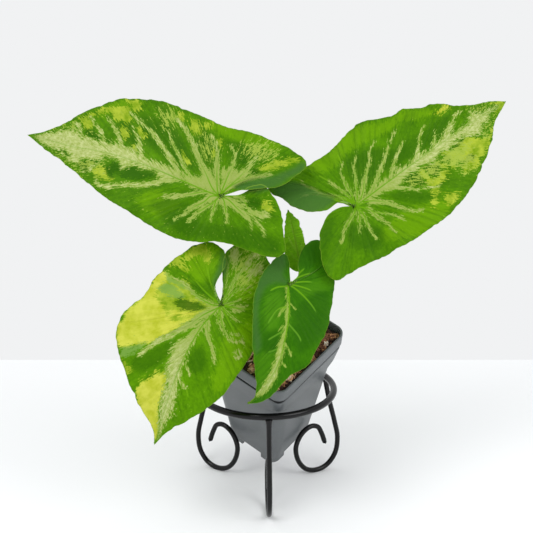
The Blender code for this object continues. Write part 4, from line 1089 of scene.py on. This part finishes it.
def powder_coat():
    """Black polyester powder coat, baked on: satin, with the fine pebble that melted powder leaves."""
    mat, add, shader = new_finish("black_powder_coat", Roughness=0.3, IOR=1.5, Specular_IOR_Level=0.28)
    place = add("ShaderNodeTexCoord").outputs["Object"]
    cloud = add("ShaderNodeTexNoise", {"Vector": place, "Scale": 140.0, "Detail": 3.0}).outputs["Fac"]
    shade = add("ShaderNodeMix", {0: cloud, 6: hex_colour("#020202"), 7: hex_colour("#060606")},
            data_type="RGBA").outputs[2]
    gloss = add("ShaderNodeMapRange", {"Value": cloud, 3: 0.14, 4: 0.24}).outputs[0]
    pebble = add("ShaderNodeTexNoise", {"Vector": place, "Scale": 2200.0, "Detail": 2.0}).outputs["Fac"]
    bump = add("ShaderNodeBump", {"Height": pebble, "Strength": 0.25, "Distance": 0.0001}).outputs[0]
    fill(shader, {"Base Color": shade, "Roughness": gloss, "Normal": bump})
    return mat


def pot_plastic():
    """Injection-moulded grey polypropylene: satin, faintly mottled, with dust in its fine texture, and
    painted shade, near black, in the gap under its rim band.
    """
    mat, add, shader = new_finish("grey_pot_plastic", Roughness=0.4, IOR=1.49)
    place = add("ShaderNodeTexCoord").outputs["Object"]
    cloud = add("ShaderNodeTexNoise", {"Vector": place, "Scale": 60.0, "Detail": 5.0}).outputs["Fac"]
    dust = add("ShaderNodeTexNoise", {"Vector": place, "Scale": 900.0, "Detail": 3.0}).outputs["Fac"]
    specks = add("ShaderNodeMapRange", {"Value": dust, 1: 0.6, 2: 0.75, 3: 0.0, 4: 0.35}).outputs[0]
    # Painted shade: the gap under the rim band is darkened to near black
    groove_shade = add("ShaderNodeAttribute", attribute_name="groove_shade").outputs["Fac"]
    shade = hex_colour("#484d50")
    for share, code in ((cloud, "#646869"), (specks, "#868b8c"), (groove_shade, "#060606")):
        shade = add("ShaderNodeMix", {0: share, 6: shade, 7: hex_colour(code)},
                data_type="RGBA").outputs[2]
    gloss = add("ShaderNodeMapRange", {"Value": cloud, 3: 0.32, 4: 0.46}).outputs[0]
    bump = add("ShaderNodeBump", {"Height": dust, "Strength": 0.2, "Distance": 0.0001}).outputs[0]
    fill(shader, {"Base Color": shade, "Roughness": gloss, "Normal": bump})
    return mat


def bark_finish():
    """Composted pine bark: matt and damp, each bit its own brown, from near black to rare pale ones."""
    mat, add, shader = new_finish("bark_potting_mix", Roughness=0.85, IOR=1.45)
    place = add("ShaderNodeTexCoord").outputs["Object"]
    tone = add("ShaderNodeAttribute", attribute_name="tone").outputs["Fac"]
    fibre = add("ShaderNodeTexNoise", {"Vector": place, "Scale": 700.0, "Detail": 4.0}).outputs["Fac"]
    mixed = add("ShaderNodeMath", {0: fibre, 1: 0.35, 2: tone}, operation="MULTIPLY_ADD").outputs[0]
    level = add("ShaderNodeMath", {0: mixed, 1: 0.17}, operation="SUBTRACT").outputs[0]
    ramp = add("ShaderNodeValToRGB", {"Fac": level})
    browns = ramp.color_ramp.elements
    browns[0].color = hex_colour("#170d09")
    browns[1].position = 0.3
    browns[1].color = hex_colour("#472a1c")
    for position, code in [(0.55, "#7d5138"), (0.75, "#b07f58"), (0.88, "#c9a27a"), (0.94, "#e4dccb")]:
        browns.new(position).color = hex_colour(code)
    bump = add("ShaderNodeBump", {"Height": fibre, "Strength": 0.6, "Distance": 0.0006}).outputs[0]
    fill(shader, {"Base Color": ramp.outputs[0], "Normal": bump})
    return mat


def stalk_finish():
    """Living green stalk: smooth and waxy, paler towards the crown, with fine lengthwise streaks."""
    mat, add, shader = new_finish("green_stalk", Roughness=0.42, IOR=1.42, Subsurface_Weight=0.06,
            Subsurface_Radius=(0.002, 0.003, 0.001), Subsurface_Scale=0.5)
    around = add("ShaderNodeAttribute", attribute_name="around").outputs["Vector"]
    along = add("ShaderNodeAttribute", attribute_name="along").outputs["Fac"]
    lift = add("ShaderNodeCombineXYZ", {"Z": along}).outputs[0]
    strand = add("ShaderNodeVectorMath", {0: around, 1: lift}, operation="ADD").outputs[0]
    drawn = add("ShaderNodeVectorMath", {0: strand, 1: (1, 1, 0.08)}, operation="MULTIPLY").outputs[0]
    streak = add("ShaderNodeTexNoise", {"Vector": drawn, "Scale": 1500.0, "Detail": 3.0}).outputs["Fac"]
    low = add("ShaderNodeMapRange", {"Value": along, 1: 0.012, 2: 0.05, 3: 0.75, 4: 0.0},
            interpolation_type="SMOOTHSTEP").outputs[0]
    green = hex_colour("#5c8a22")
    for share, code in ((streak, "#9abb52"), (low, "#c3cf94")):
        green = add("ShaderNodeMix", {0: share, 6: green, 7: hex_colour(code)},
                data_type="RGBA").outputs[2]
    bump = add("ShaderNodeBump", {"Height": streak, "Strength": 0.3, "Distance": 0.0002}).outputs[0]
    fill(shader, {"Base Color": green, "Normal": bump})
    return mat


def lay_patch(add, torn, below, field, colour, ragged, soft, most):
    """Lays a coloured patch over what is below, where its field is above zero. Its outline is torn by a
    pattern, by as many millimetres as ragged says, and fades over twice soft."""
    depth = add("ShaderNodeAttribute", attribute_name=field).outputs["Fac"]
    outline = add("ShaderNodeMath", {0: torn, 1: ragged, 2: depth}, operation="MULTIPLY_ADD").outputs[0]
    share = add("ShaderNodeMapRange", {"Value": outline, 1: ragged / 2 - soft, 2: ragged / 2 + soft,
            3: 0.0, 4: most}, interpolation_type="SMOOTHSTEP").outputs[0]
    return add("ShaderNodeMix", {0: share, 6: below, 7: colour}, data_type="RGBA").outputs[2]


def leaf_finish(name, greens, under=False, tear=1.0):
    """A leaf's skin: waxy and satin above, paler and matt below, its cream, lime and gold patches torn
    into streaks along the side veins. Its patterns lie in the blade's own millimetres."""
    mat, add, shader = new_finish(name, Roughness=0.6 if under else 0.4, IOR=1.42,
            Specular_IOR_Level=0.12, Specular_Tint=(0.75, 0.95, 0.35, 1.0))
    dark, bright, thread, light, deep = [hex_colour(code) for code in greens]

    # Patterns: noise drawn out along the side veins, and noise in the blade's plane
    grain, flat = [add("ShaderNodeAttribute", attribute_name=key).outputs["Vector"]
            for key in ("grain", "flat")]
    tone, vein, rib, edge, rows = [add("ShaderNodeAttribute", attribute_name=key).outputs["Fac"]
            for key in ("tone", "vein", "rib", "edge", "rows")]
    drawn = add("ShaderNodeVectorMath", {0: grain, 1: (1.0, 0.33, 0.0)},
            operation="MULTIPLY").outputs[0]
    broad, fine, speck, dots, cloud, mottle, patchy = [
            add("ShaderNodeTexNoise", {"Vector": place, "Scale": scale, "Detail": detail,
                "Roughness": rough}).outputs["Fac"]
            for place, scale, detail, rough in (
                (drawn, 0.26, 2.0, 0.5), (drawn, 0.7, 2.5, 0.55), (flat, 0.7, 2.0, 0.55),
                (flat, 1.5, 1.0, 0.5), (flat, 0.055, 2.0, 0.5), (flat, 0.42, 3.0, 0.65),
                (flat, 0.13, 2.0, 0.5))]
    torn, level = -0.35, tone
    for pattern, share in ((broad, 0.35), (fine, 0.75), (speck, 0.3), (dots, 0.3)):
        torn = add("ShaderNodeMath", {0: pattern, 1: share, 2: torn},
                operation="MULTIPLY_ADD").outputs[0]
    torn = add("ShaderNodeMath", {0: torn, 1: tear, 2: 0.5 * (1 - tear)},
            operation="MULTIPLY_ADD").outputs[0]

    # Greens: clouded from dark to bright, with lighter and darker parts that are partly the leaf's own
    # tone and partly painted light and painted shade
    for pattern, share in ((cloud, 0.9), (broad, 0.5), (fine, 0.7), (mottle, 0.9)):
        level = add("ShaderNodeMath", {0: pattern, 1: share, 2: level},
                operation="MULTIPLY_ADD").outputs[0]
    level = add("ShaderNodeMapRange", {"Value": level, 1: 1.4, 2: 2.4}).outputs[0]
    colour = add("ShaderNodeMix", {0: level, 6: dark, 7: bright}, data_type="RGBA").outputs[2]
    colour = lay_patch(add, torn, colour, "light", light, 13.0, 2.6, 0.5)
    colour = lay_patch(add, torn, colour, "deep", deep, 13.0, 2.6, 0.55)

    # Side veins: painted shade in their fine furrows, and brighter threads along the larger ones
    sunk = add("ShaderNodeMath", {0: rows, 1: 0.5}, operation="PINGPONG").outputs[0]
    sunk = add("ShaderNodeMath", {0: fine, 1: 0.16, 2: sunk}, operation="MULTIPLY_ADD").outputs[0]
    sunk = add("ShaderNodeMapRange", {"Value": sunk, 1: 0.05, 2: 0.4, 3: 1.0, 4: 0.0},
            interpolation_type="SMOOTHSTEP").outputs[0]
    faint = add("ShaderNodeMapRange", {"Value": broad, 1: 0.38, 2: 0.62, 3: 0.08, 4: 0.42}).outputs[0]
    sunk = add("ShaderNodeMath", {0: sunk, 1: faint}, operation="MULTIPLY").outputs[0]
    veined = add("ShaderNodeMapRange", {"Value": vein, 1: 0.25, 2: 0.8, 3: 0.6, 4: 0.0},
            interpolation_type="SMOOTHSTEP").outputs[0]
    for share, green in ((sunk, deep), (veined, thread)):
        colour = add("ShaderNodeMix", {0: share, 6: colour, 7: green}, data_type="RGBA").outputs[2]

    # Pale patches, from washes of lime up to the milky core of the cream, greener near the stalk
    marbled = add("ShaderNodeMix", {0: 0.6, 2: fine, 3: mottle}, data_type="FLOAT").outputs[0]
    marbled = add("ShaderNodeMapRange", {"Value": marbled, 1: 0.38, 2: 0.6}).outputs[0]
    patchy = add("ShaderNodeMapRange", {"Value": patchy, 1: 0.34, 2: 0.62, 3: -0.1, 4: 0.75}).outputs[0]
    patchy = add("ShaderNodeMath", {0: marbled, 1: 0.35, 2: patchy},
            operation="MULTIPLY_ADD").outputs[0]
    lime, gold, milk = [
            add("ShaderNodeMix", {0: share, 6: hex_colour(low), 7: hex_colour(high)},
                data_type="RGBA").outputs[2]
            for share, low, high in ((patchy, "#6a8c0c", "#a5b436"),
                (patchy, "#aab12c", "#c0c24a"), (marbled, "#8c9d49", "#b4bd7e"))]
    hub = add("ShaderNodeVectorMath", {0: flat}, operation="LENGTH").outputs["Value"]
    greener = add("ShaderNodeMapRange", {"Value": hub, 1: 16.0, 2: 62.0, 3: 0.85, 4: 0.0},
            interpolation_type="SMOOTHSTEP").outputs[0]
    milk = add("ShaderNodeMix", {0: greener, 6: milk, 7: hex_colour("#879a46")},
            data_type="RGBA").outputs[2]
    for field, paint, ragged, soft, most in (
            ("lime", hex_colour("#7f9c14"), 20.0, 0.9, 0.6),
            ("lime", lime, 13.0, 0.4, 0.85),
            ("gold", gold, 10.0, 0.9, 0.85),
            ("grey", hex_colour("#6f9540"), 12.0, 1.0, 0.8),
            ("island", dark, 12.0, 0.5, 0.85),
            ("fleck", hex_colour("#93a840"), 30.0, 0.8, 0.85),
            ("halo", hex_colour("#6b8f24"), 15.0, 0.8, 0.85),
            ("cream", hex_colour("#879d44"), 15.0, 0.4, 0.95),
            ("core", milk, 19.0, 1.2, 0.95)):
        colour = lay_patch(add, torn, colour, field, paint, ragged, soft, most)

    # Green lines of the midrib and veins through the pale patches, fainter away from the stalk
    line = 0.0
    for away, start, end, least in ((vein, 7.0, 30.0, 0.12), (rib, 10.0, 80.0, 0.28)):
        near, thin = [
                add("ShaderNodeMapRange", {"Value": value, 1: low, 2: high, 3: full, 4: none},
                    interpolation_type="SMOOTHSTEP").outputs[0]
                for value, low, high, full, none in (
                    (hub, start, end, 0.95, least), (away, 0.2, 0.65, 1.0, 0.0))]
        thin = add("ShaderNodeMath", {0: thin, 1: near}, operation="MULTIPLY").outputs[0]
        line = add("ShaderNodeMath", {0: thin, 1: line}, operation="MAXIMUM").outputs[0]
    colour = add("ShaderNodeMix", {0: line, 6: colour, 7: hex_colour("#5c9008")},
            data_type="RGBA").outputs[2]
    # Painted shade where a margin turns down, away from the lamps
    colour = lay_patch(add, torn, colour, "curl", hex_colour("#3a622a"), 4.0, 2.5, 0.8)

    # The bloom over the underside, and a thin yellow rim at the margin, painted light where light
    # shines through the thin edge
    rim = add("ShaderNodeMapRange", {"Value": edge, 1: 0.1, 2: 0.55, 3: 0.4, 4: 0.0},
            interpolation_type="SMOOTHSTEP").outputs[0]
    if under:
        colour = add("ShaderNodeMix", {0: 0.55, 6: colour, 7: hex_colour("#7a9c4e")},
                data_type="RGBA").outputs[2]
    colour = add("ShaderNodeMix", {0: rim, 6: colour, 7: hex_colour("#86a434")},
            data_type="RGBA").outputs[2]

    # Skin: a net of tiny cells under satin wax
    cells = add("ShaderNodeTexVoronoi", {"Vector": flat, "Scale": 0.8},
            feature="DISTANCE_TO_EDGE").outputs[0]
    net = add("ShaderNodeMath", {0: cells, 1: 0.6, 2: fine}, operation="MULTIPLY_ADD").outputs[0]
    bump = add("ShaderNodeBump", {"Height": net, "Strength": 0.5, "Distance": 0.0004}).outputs[0]
    low, high = (0.55, 0.7) if under else (0.34, 0.5)
    gloss = add("ShaderNodeMapRange", {"Value": fine, 3: low, 4: high}).outputs[0]
    fill(shader, {"Base Color": colour, "Roughness": gloss, "Normal": bump})
    return mat


# Stage, light and camera

CAMERA_PLACE = (0.5, -947.2, 492.6)
CAMERA_PITCH = 71.3
CAMERA_LENS = 95.3
FLOOR_BACK = 243.0             # where the floor ends in the photograph


def plain_finish(name, code, roughness=0.9):
    mat, _, shader = new_finish(name, Roughness=roughness)
    shader.inputs["Base Color"].default_value = hex_colour(code)
    return mat


def build_stage():
    mesh = bpy.data.meshes.new("floor")
    corners = [(-2400, -2400), (2400, -2400), (2400, FLOOR_BACK), (-2400, FLOOR_BACK)]
    mesh.from_pydata([to_metres((x, y, 0)) for x, y in corners], [], [(0, 1, 2, 3)])
    floor = new_object("floor", mesh, plain_finish("white_table", "#f0f1f2"))
    world = bpy.data.worlds.new("studio")
    bpy.context.scene.world = world
    world.use_nodes = True
    sky = world.node_tree.nodes["Background"]
    sky.inputs["Color"].default_value = hex_colour("#f1f2f3")
    sky.inputs["Strength"].default_value = 1.0


def add_softbox(name, place, aim, size, power):
    light = bpy.data.lights.new(name, "AREA")
    light.shape = "DISK"
    light.size = size
    light.energy = power
    obj = bpy.data.objects.new(name, light)
    bpy.context.scene.collection.objects.link(obj)
    obj.location = to_metres(place)
    obj.rotation_euler = (to_metres(aim) - obj.location).to_track_quat("-Z", "Y").to_euler()


def add_camera():
    cam = bpy.data.cameras.new("camera")
    cam.lens = CAMERA_LENS
    cam.sensor_width = 36.0
    cam.clip_start = 0.01
    obj = bpy.data.objects.new("camera", cam)
    bpy.context.scene.collection.objects.link(obj)
    obj.location = to_metres(CAMERA_PLACE)
    obj.rotation_euler = (math.radians(CAMERA_PITCH), 0, 0)
    bpy.context.scene.camera = obj


def main():
    bpy.context.scene.view_settings.view_transform = "Standard"
    add_camera()
    build_stage()
    add_softbox("window", (-700, -900, 1500), (0, 0, 150), 0.9, 11)
    add_softbox("fill", (900, -700, 900), (0, 0, 150), 0.8, 5)
    sweep = sweep_tree()
    build_stand(powder_coat(), sweep)
    build_pot(pot_plastic())
    build_mix(bark_finish())
    stalk = stalk_finish()
    build_crown(stalk)
    skins = {kind: (leaf_finish(kind + "_leaf", upper, tear=tear), leaf_finish(kind + "_leaf_underside",
            under, under=True)) for kind, (tear, upper, under) in LEAF_GREENS.items()}
    for name, leaf in BLADES.items():
        kind = {"front": "dark_green", "young": "young"}.get(name, "variegated")
        build_blade(name, leaf, *skins[kind])
        build_petiole(name, leaf, stalk, sweep)


main()
